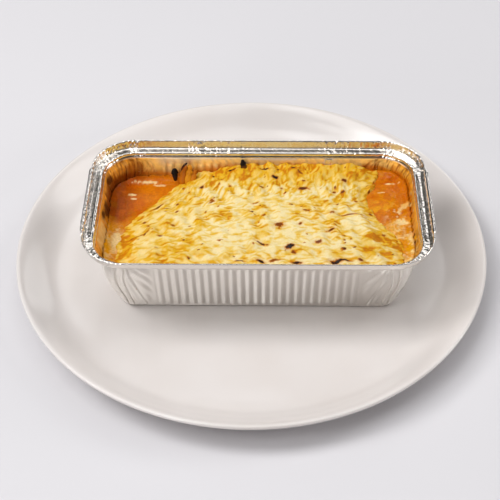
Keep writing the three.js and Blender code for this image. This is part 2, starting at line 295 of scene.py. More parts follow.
def grid_faces(rows: int, columns: int, closed: bool = False) -> Array:
    """Lists the four-sided faces of a grid of vertices that is stored row by row.

    Args:
        rows: Vertices along the second parameter.
        columns: Vertices along the first parameter.
        closed: Whether the last column joins the first.

    Returns:
        Four vertex numbers a face, anticlockwise with the first parameter to the right.
    """
    row = np.arange(rows - 1)[:, None] * columns
    column = np.arange(columns if closed else columns - 1)[None, :]
    beside = (column + 1) % columns
    corners = [row + column, row + beside, row + beside + columns, row + column + columns]
    return np.stack([c.ravel() for c in corners], axis=1)


def pole_faces(pole: int, ring: Array, upward: bool) -> Array:
    """Closes a ring of vertices to one point.

    Args:
        pole: Number of the vertex that they join at.
        ring: Numbers of the ring's vertices, anticlockwise seen from above.
        upward: Whether the faces look up.

    Returns:
        Three vertex numbers a face.
    """
    after = np.roll(ring, -1)
    pair = (ring, after) if upward else (after, ring)
    return np.stack([np.full(len(ring), pole), *pair], axis=1)


def capped_rings(rings: Array, *poles: tuple[float, ...]) -> tuple[Array, list[Array]]:
    """Joins a stack of closed rings of vertices and closes its ends.

    Args:
        rings: Places, as rings × vertices of a ring × 3.
        poles: The point that the first ring closes to, and that of the last if it closes.

    Returns:
        The vertices, and the faces in groups.
    """
    levels, count = rings.shape[:2]
    points = np.vstack([rings.reshape(-1, 3), poles])
    faces = [grid_faces(levels, count, closed=True)]
    for number, first in enumerate((0, (levels - 1) * count)[: len(poles)]):
        ring = np.arange(count) + first
        faces.append(pole_faces(levels * count + number, ring, upward=number == 1))
    return points, faces


def grid_rim(rows: int, columns: int) -> Array:
    """Lists the vertices round a grid's edge, anticlockwise.

    Args:
        rows: Vertices along the second parameter.
        columns: Vertices along the first parameter.

    Returns:
        Their numbers, from the grid's first vertex on.
    """
    number = np.arange(rows * columns).reshape(rows, columns)
    sides = [number[0, :-1], number[:-1, -1], number[-1, :0:-1], number[:0:-1, 0]]
    return np.concatenate(sides)


def closed_block(top: Array, bottom: Array, coarser: int) -> tuple[Array, list[Array]]:
    """Joins a fine upper grid and a coarse lower one into a closed block.

    Both grids cover the same shares. The lower one has one cell for each square of
    coarser × coarser upper cells, and each of its edges is sewn to that many upper ones.

    Args:
        top: Upper places, as rows × columns × 3.
        bottom: Lower places, as rows × columns × 3.
        coarser: Upper cells to a lower one along each side.

    Returns:
        The vertices, and the faces in groups.
    """
    rows, columns = top.shape[:2]
    low_rows, low_columns = bottom.shape[:2]
    points = np.vstack([top.reshape(-1, 3), bottom.reshape(-1, 3)])
    start = rows * columns
    under = grid_faces(low_rows, low_columns)[:, ::-1] + start
    high, low = grid_rim(rows, columns), grid_rim(low_rows, low_columns) + start
    fan = high.reshape(-1, coarser)
    fan = np.hstack([fan, np.roll(fan[:, :1], -1, axis=0)])
    root = np.repeat(low[:, None], coarser, axis=1)
    skirt = np.stack([root, fan[:, 1:], fan[:, :-1]], axis=-1).reshape(-1, 3)
    foot = np.stack([low, np.roll(low, -1), fan[:, -1]], axis=1)
    return points, [grid_faces(rows, columns), under, skirt, foot]


def swept_strand(path: Array, half_width: Array, half_depth: Array, sides: int) -> Skin:
    """Carries an oval along a path and closes both ends.

    A vertex is the path's point + half_width · cos a · across + half_depth · sin a · over,
    with across level and over at right angles to it and to the path.

    Args:
        path: The middle line, one row a point.
        half_width: Half width of the oval at each point.
        half_depth: Half depth of the oval at each point.
        sides: Vertices of the oval.

    Returns:
        The strand's skin.
    """
    along = np.gradient(path, axis=0)
    along /= np.linalg.norm(along, axis=1, keepdims=True)
    across = np.stack([-along[:, 1], along[:, 0], np.full(len(path), 1e-3)], axis=1)
    across /= np.linalg.norm(across, axis=1, keepdims=True)
    over = np.cross(along, across)
    angle = np.arange(sides) / sides * TAU
    oval = half_width[:, None, None] * np.cos(angle)[None, :, None] * across[:, None]
    oval = oval + half_depth[:, None, None] * np.sin(angle)[None, :, None] * over[:, None]
    return Skin(*capped_rings(path[:, None] + oval, path[0], path[-1]))


def joined(skins: list[Skin]) -> Skin:
    """Puts several skins into one.

    Args:
        skins: Skins that have the same tints.

    Returns:
        One skin with all their vertices and faces.
    """
    starts = np.cumsum([0, *(len(s.points) for s in skins[:-1])])
    faces = [group + start for s, start in zip(skins, starts) for group in s.faces]
    tints = {name: np.vstack([s.tints[name] for s in skins]) for name in skins[0].tints}
    return Skin(np.vstack([s.points for s in skins]), faces, tints)


def make_piece(
    name: str,
    skin: Skin,
    origin: tuple[float, float, float],
    materials: list[Material],
    solid: Solid,
) -> Piece:
    """Makes a piece from its skin, lets it ride, and lets it stand for its CAD node.

    Args:
        name: Name of the piece.
        skin: Its surface in millimetres.
        origin: Where the surface's own origin is in the plate's frame.
        materials: Its materials, the first of them on every face.
        solid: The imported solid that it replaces.

    Returns:
        The piece, whose object sits at the origin.
    """
    mesh = bpy.data.meshes.new(name)
    corners = np.concatenate([group.ravel() for group in skin.faces])
    totals = np.concatenate([np.full(len(g), g.shape[1]) for g in skin.faces])
    starts = np.concatenate([[0], np.cumsum(totals)[:-1]])
    mesh.vertices.add(len(skin.points))
    mesh.loops.add(len(corners))
    mesh.polygons.add(len(totals))
    places = (skin.points + np.array(origin)) * MM
    mesh.vertices.foreach_set("co", places.astype(np.float32).ravel())
    mesh.loops.foreach_set("vertex_index", corners.astype(np.int32))
    mesh.polygons.foreach_set("loop_start", starts.astype(np.int32))
    mesh.update(calc_edges=True)
    mesh.shade_smooth()
    for tint, colours in skin.tints.items():
        layer = mesh.attributes.new(tint, "FLOAT_COLOR", "POINT")
        layer.data.foreach_set("color", colours.astype(np.float32).ravel())
    for material in materials:
        mesh.materials.append(material)
    piece = bpy.data.objects.new(name, mesh)
    bpy.context.scene.collection.objects.link(piece)
    node, slot = solid.value
    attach(piece, "root")
    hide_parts(node)
    triangles = int(np.sum(totals - 2))
    LOG.info("%s: %d vertices, %d triangles", name, len(skin.points), triangles)
    return piece


# Materials


def add_node(
    tree: Tree,
    kind: str,
    inputs: dict[str | int, Any] | None = None,
    **settings: Any,
) -> bpy.types.Node:
    """Adds a node with its settings, values and links.

    Args:
        tree: The tree that it goes into.
        kind: Blender's name for the kind of node.
        inputs: A value, or an output to link, for each input socket by name or number.
        settings: The node's own properties.

    Returns:
        The node.
    """
    node = tree.nodes.new(kind)
    for name, value in settings.items():
        setattr(node, name, value)
    for socket, value in (inputs or {}).items():
        if isinstance(value, bpy.types.NodeSocket):
            tree.links.new(value, node.inputs[socket])
        else:
            node.inputs[socket].default_value = value
    return node


def texture_scale(size: float) -> float:
    """Turns the size of a pattern's grain in millimetres into a texture's scale."""
    return 1 / (size * MM)


@dataclass(frozen=True)
class Finish:
    """A finish, made as one Principled shader.

    Attributes:
        name: Name of the material.
    """

    name: str

    def sockets(self, tree: Tree) -> Sockets:
        """Gives the shader's values and links by socket."""
        raise NotImplementedError

    def build(self) -> Material:
        """Makes the material.

        Returns:
            The material, with the finish's values and links on its shader.
        """
        material = bpy.data.materials.new(self.name)
        material.use_nodes = True
        tree = material.node_tree
        tree.nodes.clear()
        shader = add_node(tree, "ShaderNodeBsdfPrincipled", self.sockets(tree))
        add_node(tree, "ShaderNodeOutputMaterial", {"Surface": shader.outputs[0]})
        return material


@dataclass(frozen=True)
class MattPaper(Finish):
    """Uncoated paper off a roll, which gives the eye an even field with no highlight."""

    name: str = "matt_paper"
    colour: str = "#D2D0D3"
    roughness: float = 0.85

    def sockets(self, tree: Tree) -> Sockets:
        """Gives the shader's values by socket."""
        return {"Base Color": linear_colour(self.colour), "Roughness": self.roughness}


@dataclass(frozen=True)
class GlazedStoneware(Finish):
    """Pale glazed stoneware, dipped and fired.

    The glaze gives the eye a glassy skin with soft clouds of tone and a faint orange peel,
    which makes long highlights waver a little.

    Attributes:
        body: Colour of most of the glaze.
        cloud: Colour of the clouds in it.
        cloud_size: Size of the clouds in millimetres.
        roughness: Roughness of the glaze.
        ior: Its index of refraction.
        peel_size: Size of the orange peel's dimples in millimetres.
        peel_depth: Their depth in millimetres.
    """

    name: str = "glazed_stoneware"
    body: str = "#DAD4D1"
    cloud: str = "#D6CFCB"
    cloud_size: float = 45.0
    roughness: float = 0.17
    ior: float = 1.5
    peel_size: float = 5.0
    peel_depth: float = 0.03

    def sockets(self, tree: Tree) -> Sockets:
        """Mixes the two tones by the clouds and dents the glaze by the peel.

        Args:
            tree: The tree that the nodes go into.

        Returns:
            The shader's values and links by socket.
        """
        place = add_node(tree, "ShaderNodeTexCoord").outputs["Object"]
        clouds, peel = (
            add_node(
                tree,
                "ShaderNodeTexNoise",
                {"Vector": place, "Scale": texture_scale(size), "Detail": detail},
            ).outputs["Fac"]
            for size, detail in ((self.cloud_size, 2.0), (self.peel_size, 1.0))
        )
        share = add_node(tree, "ShaderNodeMapRange", {"Value": clouds, **USUAL_NOISE})
        tone = add_node(
            tree,
            "ShaderNodeMix",
            {0: share.outputs[0], 6: linear_colour(self.body), 7: linear_colour(self.cloud)},
            data_type="RGBA",
        )
        relief = add_node(
            tree,
            "ShaderNodeBump",
            {"Height": peel, "Distance": self.peel_depth * MM, "Strength": 0.4},
        )
        return {
            "Base Color": tone.outputs[2],
            "Roughness": self.roughness,
            "IOR": self.ior,
            "Normal": relief.outputs[0],
        }


@dataclass(frozen=True)
class RolledFoil(Finish):
    """Aluminium foil, rolled thin and pressed into a tray.

    The metal is bright, with a fine grain from the rolls and from handling. The rolls leave
    lines along the foil, which draw its highlights out upright.

    Attributes:
        roughness: Least and most roughness, from place to place.
        lines: How far the rolls' lines draw the highlights out.
        lines_turn: Direction of the lines, as a share of a turn.
        metal: Colour of the metal.
        smudge_size: Size of the places that differ in roughness, in millimetres.
        grain_size: Size of the grain in millimetres.
        grain_depth: Depth of the grain in millimetres.
    """

    roughness: tuple[float, float]
    lines: float
    lines_turn: float = 0.25
    metal: str = "#EAE5DF"
    smudge_size: float = 14.0
    grain_size: float = 0.8
    grain_depth: float = 0.006

    def sockets(self, tree: Tree) -> Sockets:
        """Smudges the metal's roughness and dents it by the grain.

        Args:
            tree: The tree that the nodes go into.

        Returns:
            The shader's values and links by socket.
        """
        place = add_node(tree, "ShaderNodeTexCoord").outputs["Object"]
        smudges, grain = (
            add_node(
                tree,
                "ShaderNodeTexNoise",
                {"Vector": place, "Scale": texture_scale(size), "Detail": 2.0},
            ).outputs["Fac"]
            for size in (self.smudge_size, self.grain_size)
        )
        smooth, dull = self.roughness
        rough = add_node(
            tree,
            "ShaderNodeMapRange",
            {"Value": smudges, **USUAL_NOISE, "To Min": smooth, "To Max": dull},
        )
        relief = add_node(
            tree,
            "ShaderNodeBump",
            {"Height": grain, "Distance": self.grain_depth * MM, "Strength": 0.5},
        )
        return {
            "Base Color": linear_colour(self.metal),
            "Metallic": 1.0,
            "Roughness": rough.outputs[0],
            "Anisotropic": self.lines,
            "Anisotropic Rotation": self.lines_turn,
            "Normal": relief.outputs[0],
        }


# The outside of the walls, dulled by the press: satin, with long soft highlights
SATIN_FOIL = RolledFoil("pressed_aluminium_foil", roughness=(0.38, 0.46), lines=0.85)

# The rim, bent and crinkled but not rubbed: bright, with hard sparkles
BRIGHT_FOIL = RolledFoil("bright_aluminium_foil", roughness=(0.17, 0.25), lines=0.0)


@dataclass(frozen=True)
class BakedFoil(RolledFoil):
    """The inner face of the foil after baking.

    Oil and sauce have baked on in an amber film, whose colour and cover the attribute "stain"
    gives. Where it is thick, the foil looks like dull varnish, and where it is thin, like gold.

    Attributes:
        film_roughness: Roughness of the film.
        film_metal: How much of the metal shows through the full film.
        film_shine: Strength of the film's own highlights.
    """

    name: str = "aluminium_foil_with_baked_film"
    roughness: tuple[float, float] = (0.16, 0.3)
    lines: float = 0.0
    lines_turn: float = 0.0
    smudge_size: float = 7.0
    grain_size: float = 1.2
    grain_depth: float = 0.02
    film_roughness: float = 0.4
    film_metal: float = 0.04
    film_shine: float = 0.1

    def sockets(self, tree: Tree) -> Sockets:
        """Covers the foil with the film by the attribute's alpha.

        Args:
            tree: The tree that the nodes go into.

        Returns:
            The shader's values and links by socket.
        """
        bare = super().sockets(tree)
        stain = add_node(tree, "ShaderNodeAttribute", attribute_name="stain")
        cover = stain.outputs["Alpha"]
        tone = add_node(
            tree,
            "ShaderNodeMix",
            {0: cover, 6: bare["Base Color"], 7: stain.outputs["Color"]},
            data_type="RGBA",
        )
        metallic = add_node(
            tree, "ShaderNodeMapRange", {"Value": cover, "To Min": 1.0, "To Max": self.film_metal}
        )
        rough = add_node(
            tree,
            "ShaderNodeMix",
            {0: cover, 2: bare["Roughness"], 3: self.film_roughness},
            data_type="FLOAT",
        )
        return {
            **bare,
            "Base Color": tone.outputs[2],
            "Metallic": metallic.outputs[0],
            "Roughness": rough.outputs[0],
            "Specular IOR Level": self.film_shine,
        }


@dataclass(frozen=True)
class BakedFood(Finish):
    """Food out of the oven, whose colour the attribute "tint" gives.

    Attributes:
        roughness: Least and most roughness of its skin.
        grain_size: Size of its fine grain in millimetres.
        grain_depth: Depth of that grain in millimetres.
        speckle: How much the grain lightens and darkens the colour.
        glow: Share of the light that goes through the skin.
        glow_reach: How far red, green and blue go under the skin, in millimetres.
        shine: Strength of the skin's own highlights.
        oil: Strength of the coat of oil.
        oil_roughness: Roughness of that coat.
        ior: Index of refraction of fat and water.
    """

    roughness: tuple[float, float]
    grain_size: float
    grain_depth: float
    speckle: float
    glow: float
    glow_reach: tuple[float, float, float]
    shine: float
    oil: float
    oil_roughness: float
    ior: float = 1.42

    def sockets(self, tree: Tree) -> Sockets:
        """Speckles the tint by the grain, and dulls the skin in patches four grains wide.

        Args:
            tree: The tree that the nodes go into.

        Returns:
            The shader's values and links by socket.
        """
        place = add_node(tree, "ShaderNodeTexCoord").outputs["Object"]
        grain, patches = (
            add_node(
                tree,
                "ShaderNodeTexNoise",
                {"Vector": place, "Scale": texture_scale(size), "Detail": detail},
            ).outputs["Fac"]
            for size, detail in ((self.grain_size, 3.0), (self.grain_size * 4, 2.0))
        )
        speckle, rough = (
            add_node(
                tree,
                "ShaderNodeMapRange",
                {"Value": noise, **USUAL_NOISE, "To Min": least, "To Max": most},
            ).outputs[0]
            for noise, least, most in (
                (grain, 1 - self.speckle, 1 + self.speckle),
                (patches, *self.roughness),
            )
        )
        tint = add_node(tree, "ShaderNodeAttribute", attribute_name="tint")
        tone = add_node(
            tree,
            "ShaderNodeMix",
            {0: 1.0, 6: tint.outputs["Color"], 7: speckle},
            data_type="RGBA",
            blend_type="MULTIPLY",
        )
        relief = add_node(
            tree,
            "ShaderNodeBump",
            {"Height": grain, "Distance": self.grain_depth * MM, "Strength": 0.6},
        )
        return {
            "Base Color": tone.outputs[2],
            "Roughness": rough,
            "IOR": self.ior,
            "Specular IOR Level": self.shine,
            "Subsurface Weight": self.glow,
            "Subsurface Radius": tuple(r * MM for r in self.glow_reach),
            "Subsurface Scale": 1.0,
            "Coat Weight": self.oil,
            "Coat Roughness": self.oil_roughness,
            "Normal": relief.outputs[0],
        }


# Melted and browned cheese: soft, a little translucent, with a dull skin of fat
CHEESE_FINISH = BakedFood(
    name="browned_melted_cheese",
    roughness=(0.42, 0.62),
    grain_size=0.9,
    grain_depth=0.08,
    speckle=0.05,
    glow=0.12,
    glow_reach=(2.0, 1.3, 0.4),
    shine=0.12,
    oil=0.05,
    oil_roughness=0.25,
)

# Tomato sauce that has baked thick: dense, oily, with fine pulp in it
SAUCE_FINISH = BakedFood(
    name="baked_tomato_sauce",
    roughness=(0.3, 0.5),
    grain_size=1.1,
    grain_depth=0.1,
    speckle=0.14,
    glow=0.08,
    glow_reach=(1.6, 0.5, 0.1),
    shine=0.06,
    oil=0.1,
    oil_roughness=0.08,
)

# Baked pasta sheet under a coat of sauce: smooth and oily
PASTA_FINISH = BakedFood(
    name="sauced_pasta_sheet",
    roughness=(0.3, 0.45),
    grain_size=1.1,
    grain_depth=0.08,
    speckle=0.13,
    glow=0.08,
    glow_reach=(1.6, 0.5, 0.1),
    shine=0.06,
    oil=0.12,
    oil_roughness=0.07,
)


# The plate


@dataclass
class DinnerPlate:
    """A wide shallow plate with a flat well, a low curved rim and a foot ring.

    Attributes:
        under_profile: Radius and height from the middle of the underside out to the lip.
        top_profile: Radius and height from the lip in to the middle of the well.
        levels: Rings of vertices from the middle of the underside to the middle of the well.
        segments: Vertices of a ring.
    """

    under_profile: tuple[tuple[float, float], ...] = (
        (0.5, 1.2), (60, 1.2), (78, 1.2), (80, 0.05), (83, 0.0), (86, 0.05),
        (89, 2.0), (104, 2.5), (119, 2.8), (131, 7.4), (139, 13.2), (144.5, 16.9),
    )
    top_profile: tuple[tuple[float, float], ...] = (
        (145.2, 18.4), (144.9, 19.7), (143.6, 20.0), (141.5, 19.0), (137, 15.9),
        (130.5, 10.4), (124, 6.4), (118, 4.9), (112, 4.6), (60, 4.6), (0.5, 4.6),
    )
    levels: int = 128
    segments: int = 288

    def skin(self) -> Skin:
        """Turns the rounded profile about the plate's axis.

        A vertex is (r cos a, r sin a, z) for each point (r, z) of the profile.

        Returns:
            The plate's closed skin.
        """
        line = rounded_line((*self.under_profile, *self.top_profile), trim=9.0, steps=8)
        profile = spread_along(line, self.levels, turn_worth=9.0)
        angle = np.arange(self.segments) / self.segments * TAU
        radius, height = profile[:, 0, None], profile[:, 1, None]
        x, y, z = radius * np.cos(angle), radius * np.sin(angle), height + 0 * angle
        poles = (0, 0, profile[0, 1]), (0, 0, profile[-1, 1])
        return Skin(*capped_rings(np.stack([x, y, z], axis=-1), *poles))

    def build(self) -> Piece:
        """Makes the plate."""
        glaze = [GlazedStoneware().build()]
        return make_piece("dinner_plate", self.skin(), (0.0, 0.0, 0.0), glaze, Solid.PLATE)


# The tray


@dataclass(frozen=True)
class TrayForm:
    """Main sizes of the tray that the foil and the food share.

    An inset is how far inside the outermost rim something is, a radius is that of its corners,
    and a height is over the base. The corners are pinched in under the rim, where they are
    crushed, and belly out lower down. wall_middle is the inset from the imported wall's outer
    face to the foil's middle, and rib_end is the length over which a rib runs out.
    """

    centre: tuple[float, float, float] = (4.2, -4.7, 4.9)
    half_length: float = 102.5
    half_width: float = 56.2
    rim_radius: float = 26.0
    base_inset: float = 19.7
    base_radius: float = 8.5
    wall_top: float = 46.4
    wall_top_inset: float = 7.0
    wall_top_radius: float = 19.0
    corner_pinch: float = 4.0
    pinch_height: float = 42.0
    corner_belly: float = 2.4
    belly_height: float = 24.0
    foil: float = 0.24
    wall_middle: float = 0.25
    rib_pitch: float = 4.8
    rib_depth: float = 0.62
    rib_foot: float = 3.0
    rib_top: float = 44.0
    rib_end: float = 2.2
    clearance: float = 0.32
    long_ribs_half: float = 60.0
    short_ribs_half: float = 21.6

    @property
    def perimeter(self) -> float:
        """Length once round the outermost rim."""
        straight = 4 * (self.half_length + self.half_width - 2 * self.rim_radius)
        return straight + TAU * self.rim_radius

    def wall(self, z: Array) -> tuple[Array, Array]:
        """Gives the wall's middle line at a height.

        The corner radius grows evenly from foot to top, − a belly half way up, where the foil
        was pressed out, + a pinch under the rim, where its corners are crushed.

        Args:
            z: Heights over the base.

        Returns:
            How far inside the outermost rim the foil's middle is, and its corner radius.
        """
        height = np.asarray(z, float)
        share = np.clip(height / self.wall_top, 0, 1)
        inset = mix(self.base_inset, self.wall_top_inset, share) + self.wall_middle
        radius = mix(self.base_radius, self.wall_top_radius, share) - self.wall_middle
        return inset, radius + self.crush(height)

    def crush(self, z: Array) -> Array:
        """Gives how much pinch and belly widen the corner radius at a height."""
        pinch = self.corner_pinch * bell(z - self.pinch_height, 7) * (1 - smooth_step(43, 46, z))
        return pinch - self.corner_belly * bell(z - self.belly_height, 11)

    def ribs(self, along: Array, half: float, z: Array) -> Array:
        """Gives how far the upright ribs stand out.

        They are an even zigzag with rounded turns, asin(0.97 · cos t) · 2 / π, that runs out
        in round arches at its foot and top.

        Args:
            along: Distance from the middle of the side.
            half: Half the length that has ribs.
            z: Heights over the base.

        Returns:
            The push outwards in millimetres.
        """
        crest = np.cos(along * TAU / self.rib_pitch)
        wave = np.arcsin(0.97 * crest) * 2 / np.pi
        arch = 0.7 * (1 - crest)
        ends = smooth_step(0, self.rib_end, self.rib_top - arch - z)
        ends = ends * smooth_step(0, self.rib_end, z - self.rib_foot - 0.5 * arch)
        within = smooth_step(0, 1.2, half + 0.4 - np.abs(along))
        return self.rib_depth * wave * ends * within

    def reach(self, x: Array, z: Array) -> Array:
        """Gives half the width that the food has inside the foil, ribs counted.

        Args:
            x: Places along the tray.
            z: Heights over the base.

        Returns:
            The largest y at each place.
        """
        inset, radius = self.wall(z)
        inset, radius = inset + self.foil / 2 + self.clearance, radius - self.foil / 2
        past = np.maximum(np.abs(x) - (self.half_length - inset - radius), 0)
        bow = np.sqrt(np.maximum(radius**2 - past**2, 0))
        return self.half_width - inset - radius + bow + self.ribs(x, self.long_ribs_half, z)


@dataclass(frozen=True)
class Stations:
    """Places round the tray's rounded rectangle, anticlockwise from the front left corner.

    Attributes:
        form: The tray's sizes.
        along_x: x of the straight or corner centre at the rim.
        along_y: y of the straight or corner centre at the rim.
        normal: Outward direction, one row a station.
        corner: Number of the nearest corner.
        offset: Distance round the rim from the middle of that corner.
        run: Distance round the rim from the first station.
        side: Number of the straight side, from the front one, or of the one before a corner.
    """

    form: TrayForm
    along_x: Array
    along_y: Array
    normal: Array
    corner: Array
    offset: Array
    run: Array
    side: Array

    @classmethod
    def lay(cls, form: TrayForm, side_step: float, corner_step: float) -> Stations:
        """Spaces stations evenly along the sides and round the corners.

        Args:
            form: The tray's sizes.
            side_step: Spacing along the straight sides.
            corner_step: Spacing round the corners at the rim.

        Returns:
            The stations.
        """
        end_x = form.half_length - form.rim_radius
        end_y = form.half_width - form.rim_radius
        arc = form.rim_radius * np.pi / 2
        rows = []
        done = 0.0
        for quarter in range(4):
            facing = quarter * np.pi / 2 - np.pi / 2
            end = end_x if quarter % 2 == 0 else end_y
            count = int(round(2 * end / side_step))
            place = np.linspace(-end, end, count, endpoint=False)
            direction = np.array([np.cos(facing), np.sin(facing)])
            forward = np.array([-direction[1], direction[0]])
            middle = direction * np.array([end_x, end_y])
            spots = middle + place[:, None] * forward
            near = np.where(place < 0, (quarter + 3) % 4, quarter)
            offset = np.where(place < 0, place + end + arc / 2, place - end - arc / 2)
            normal = np.repeat(direction[None], count, axis=0)
            side = np.full(count, quarter)
            rows.append((spots, normal, near, offset, done + place + end, side))
            done += 2 * end
            count = int(round(arc / corner_step))
            turn = np.linspace(0, 1, count, endpoint=False)
            angle = facing + turn * np.pi / 2
            spots = np.repeat((middle + end * forward)[None], count, axis=0)
            normal = np.stack([np.cos(angle), np.sin(angle)], axis=1)
            near, offset = np.full(count, quarter), (turn - 0.5) * arc
            rows.append((spots, normal, near, offset, done + turn * arc, near))
            done += arc
        parts = [np.concatenate(part) for part in zip(*rows)]
        return cls(form, parts[0][:, 0], parts[0][:, 1], *parts[1:])

    def ring(self, inset: Array, radius: Array) -> Array:
        """Places the stations on levels of the tray.

        Ribs keep their place along a side at every level. The plain stretch between the last
        rib and the corner gives way.

        Args:
            inset: How far inside the outermost rim each level is.
            radius: Corner radius of each level.

        Returns:
            x and y, as levels × stations × 2.
        """
        form = self.form
        inset, radius = inset[:, None], radius[:, None]
        centres = []
        for along, half, ribbed in (
            (self.along_x, form.half_length, form.long_ribs_half),
            (self.along_y, form.half_width, form.short_ribs_half),
        ):
            widest = half - form.rim_radius
            stretch = (half - inset - radius - ribbed) / (widest - ribbed)
            beyond = np.maximum(np.abs(along) - ribbed, 0)
            centres.append(np.sign(along) * (np.minimum(np.abs(along), ribbed) + beyond * stretch))
        return np.stack(centres, axis=-1) + radius[..., None] * self.normal[None]

    def ribs(self, z: Array) -> Array:
        """Gives how far the ribs of the straight sides stand out.

        Args:
            z: Heights over the base.

        Returns:
            The push outwards, 0 round the corners.
        """
        form = self.form
        on_short, on_long = np.abs(self.normal.T) > 0.999
        long_ribs = form.ribs(self.along_x, form.long_ribs_half, z)
        return on_long * long_ribs + on_short * form.ribs(self.along_y, form.short_ribs_half, z)

    def corner_share(self, reach: float) -> Array:
        """Is 1 round the corners and fades to 0 over a reach along the sides."""
        arc = self.form.rim_radius * np.pi / 4
        return 1 - smooth_step(arc - 2, arc + reach, np.abs(self.offset))

    def weight(self, corner: float, sides: tuple[float, ...]) -> Array:
        """Weighs the stations by where they are.

        Args:
            corner: Weight round the corners.
            sides: Weights of the front, right, back and left side.

        Returns:
            The weights, which fade into each other beside the corners.
        """
        return mix(np.array(sides)[self.side], corner, self.corner_share(7.0))


@dataclass(frozen=True)
class WallStain:
    """A patch of food baked onto the inside of the foil.

    Attributes:
        place: Its middle as x, y and z.
        size: Its half length round the wall and its half height.
        colour: Its colour.
        cover: How strong it is.
        bare: Whether it is a patch where the film is missing instead.
    """

    place: tuple[float, float, float]
    size: tuple[float, float]
    colour: str
    cover: float
    bare: bool = False


@dataclass
class FoilTray:
    """The pressed foil tray: ribbed walls, a shoulder bead, a ledge, a flange and a hem.

    Attributes:
        form: The tray's main sizes.
        foot: Inset from the wall's foot and height of the bend from the base into the walls.
        levels: Least and most height, and number, of the levels at the ribs' feet, along them
            and at their tops.
        rim_profile: Inset and height from the top of the wall out to the end of the hem.
        crushed: How crushed the rim is on the front, right, back and left side.
        rim_folds: Depth, pitch, length and seed of the folds where it is crushed.
        pressed: How strong the press marks of the rim are on those sides.
        hem_flare: How far the hem stands out along the short sides.
        ledge_dish: How deep the ledge is dished on the right, and how high crowned on the left.
        films: Colours of the thin film of oil on the front, right, back and left wall.
        crease_shade_and_crust: Colour of the dark lines in the creases at the corners: painted
            shade and
        reflection in the creases, over sauce baked into them.
        corner_lines: Offsets from the corner's middle, at the top and at the foot of the wall, of
            the sharp creases beside each corner.
        stains: Patches of baked food on the inside.
    """

    form: TrayForm
    foot: tuple[tuple[float, float], ...] = (
        (7.0, 0.12), (3.0, 0.12), (1.6, 0.2), (0.75, 0.5), (0.2, 1.1),
    )
    levels: tuple[tuple[float, float, int], ...] = (
        (2.1, 6.4, 5), (7.9, 39.1, 22), (40.6, 46.2, 8),
    )
    rim_profile: tuple[tuple[float, float], ...] = (
        (7.25, 46.2), (7.15, 46.9), (6.95, 47.25), (6.6, 47.45), (6.5, 48.4), (6.45, 49.2),
        (6.1, 49.45), (5.4, 49.4), (4.0, 49.42), (2.2, 49.46), (1.75, 49.6), (1.55, 50.2),
        (0.9, 53.2), (0.65, 54.3), (0.55, 54.7), (0.3, 54.9), (0.1, 54.75), (0.05, 54.2),
        (0.15, 53.75), (0.4, 53.6),
    )
    crushed: tuple[float, ...] = (0.06, 0.8, 0.16, 1.0)
    rim_folds: tuple[tuple[float, float, float, int], ...] = (
        (0.2, 1.7, 4.5, 41), (0.12, 1.3, 1.4, 47), (0.04, 3.4, 9.0, 46),
    )
    pressed: tuple[float, ...] = (0.3, 0.3, 1.0, 0.3)
    hem_flare: float = 1.2
    ledge_dish: float = 0.65
    films: tuple[str, ...] = ("#D0902A", "#DA961E", "#F2BE60", "#DA9020")
    crease_shade_and_crust: str = "#6E2C06"
    corner_lines: tuple[tuple[float, float], ...] = ((18.3, 30.0), (14.5, 20.4), (6.0, 11.0))
    stains: tuple[WallStain, ...] = (
        WallStain((-91.5, 32, 41.5), (4.5, 4), "#4E1E04", 0.9),
        WallStain((-90.6, 23, 38), (9, 5.5), "#7A3206", 0.75),
        WallStain((-90.4, 9, 38.5), (7, 6), "#4A1E04", 0.9),
        WallStain((-92.8, 0, 41), (4, 3.4), "#3C1A08", 0.9),
        WallStain((-91, -15, 39), (13, 8), "#E2C080", 0.75),
        WallStain((-78, 47, 40), (6, 5), "#B0610F", 0.6),
        WallStain((44.5, 48, 44.5), (4, 3.2), "#E0A444", 0.85, bare=True),
        WallStain((10, 48.5, 46), (16, 1.6), "#E0A444", 0.5, bare=True),
    )

    def folds(self, run: Array, along: Array, pitch: float, length: float, seed: int) -> Array:
        """Gives irregular folds with sharp crests that run across the foil.

        They are 1 − 3|n| of two noises n whose cells are short round the tray and long
        across the foil.

        Args:
            run: Distance round the tray.
            along: Distance across the foil.
            pitch: Usual distance from fold to fold.
            length: Usual length of a fold.
            seed: Picks the folds.

        Returns:
            The folds, from about −1.5 to 1.
        """
        total = 0.0
        for share, scale, step in ((0.6, 1.6, 0), (0.4, 0.9, 1)):
            around = int(round(self.form.perimeter / (pitch * scale)))
            cell = self.form.perimeter / around
            slant_around = max(around // 6, 1)
            slant_cell = (self.form.perimeter / slant_around, length)
            slant = lattice_noise(run, along, slant_cell, seed + step + 5, slant_around)
            bent = run + slant * pitch * 0.8
            size = (cell, length * scale)
            total = total + share * (
                1 - 3 * np.abs(lattice_noise(bent, along, size, seed + step, around))
            )
        return total

    def plain_offset(self, stations: Stations, z: Array) -> Array:
        """Gives distances from the nearest corner's middle that the crushed corner doesn't bend.

        A station that the crush moves along its side gets the distance of the one that would
        be there in a plain corner. Round the corner the shift fades out with the square.

        Args:
            stations: Places round the tray.
            z: Heights of the levels, as a column.

        Returns:
            Distances, as levels × stations.
        """
        form = self.form
        on_long = (stations.corner + (stations.offset > 0)) % 2 == 0
        along = np.abs(np.where(on_long, stations.along_x, stations.along_y))
        half = np.where(on_long, form.half_length, form.half_width)
        ribbed = np.where(on_long, form.long_ribs_half, form.short_ribs_half)
        inset, radius = form.wall(z)
        crush = form.crush(z)
        plain = half - inset - radius + crush - ribbed
        shift = np.maximum(along - ribbed, 0) * crush / plain
        offset = np.abs(stations.offset)
        arc = form.rim_radius * np.pi / 4
        return offset + shift * np.minimum(offset / arc, 1) ** 2

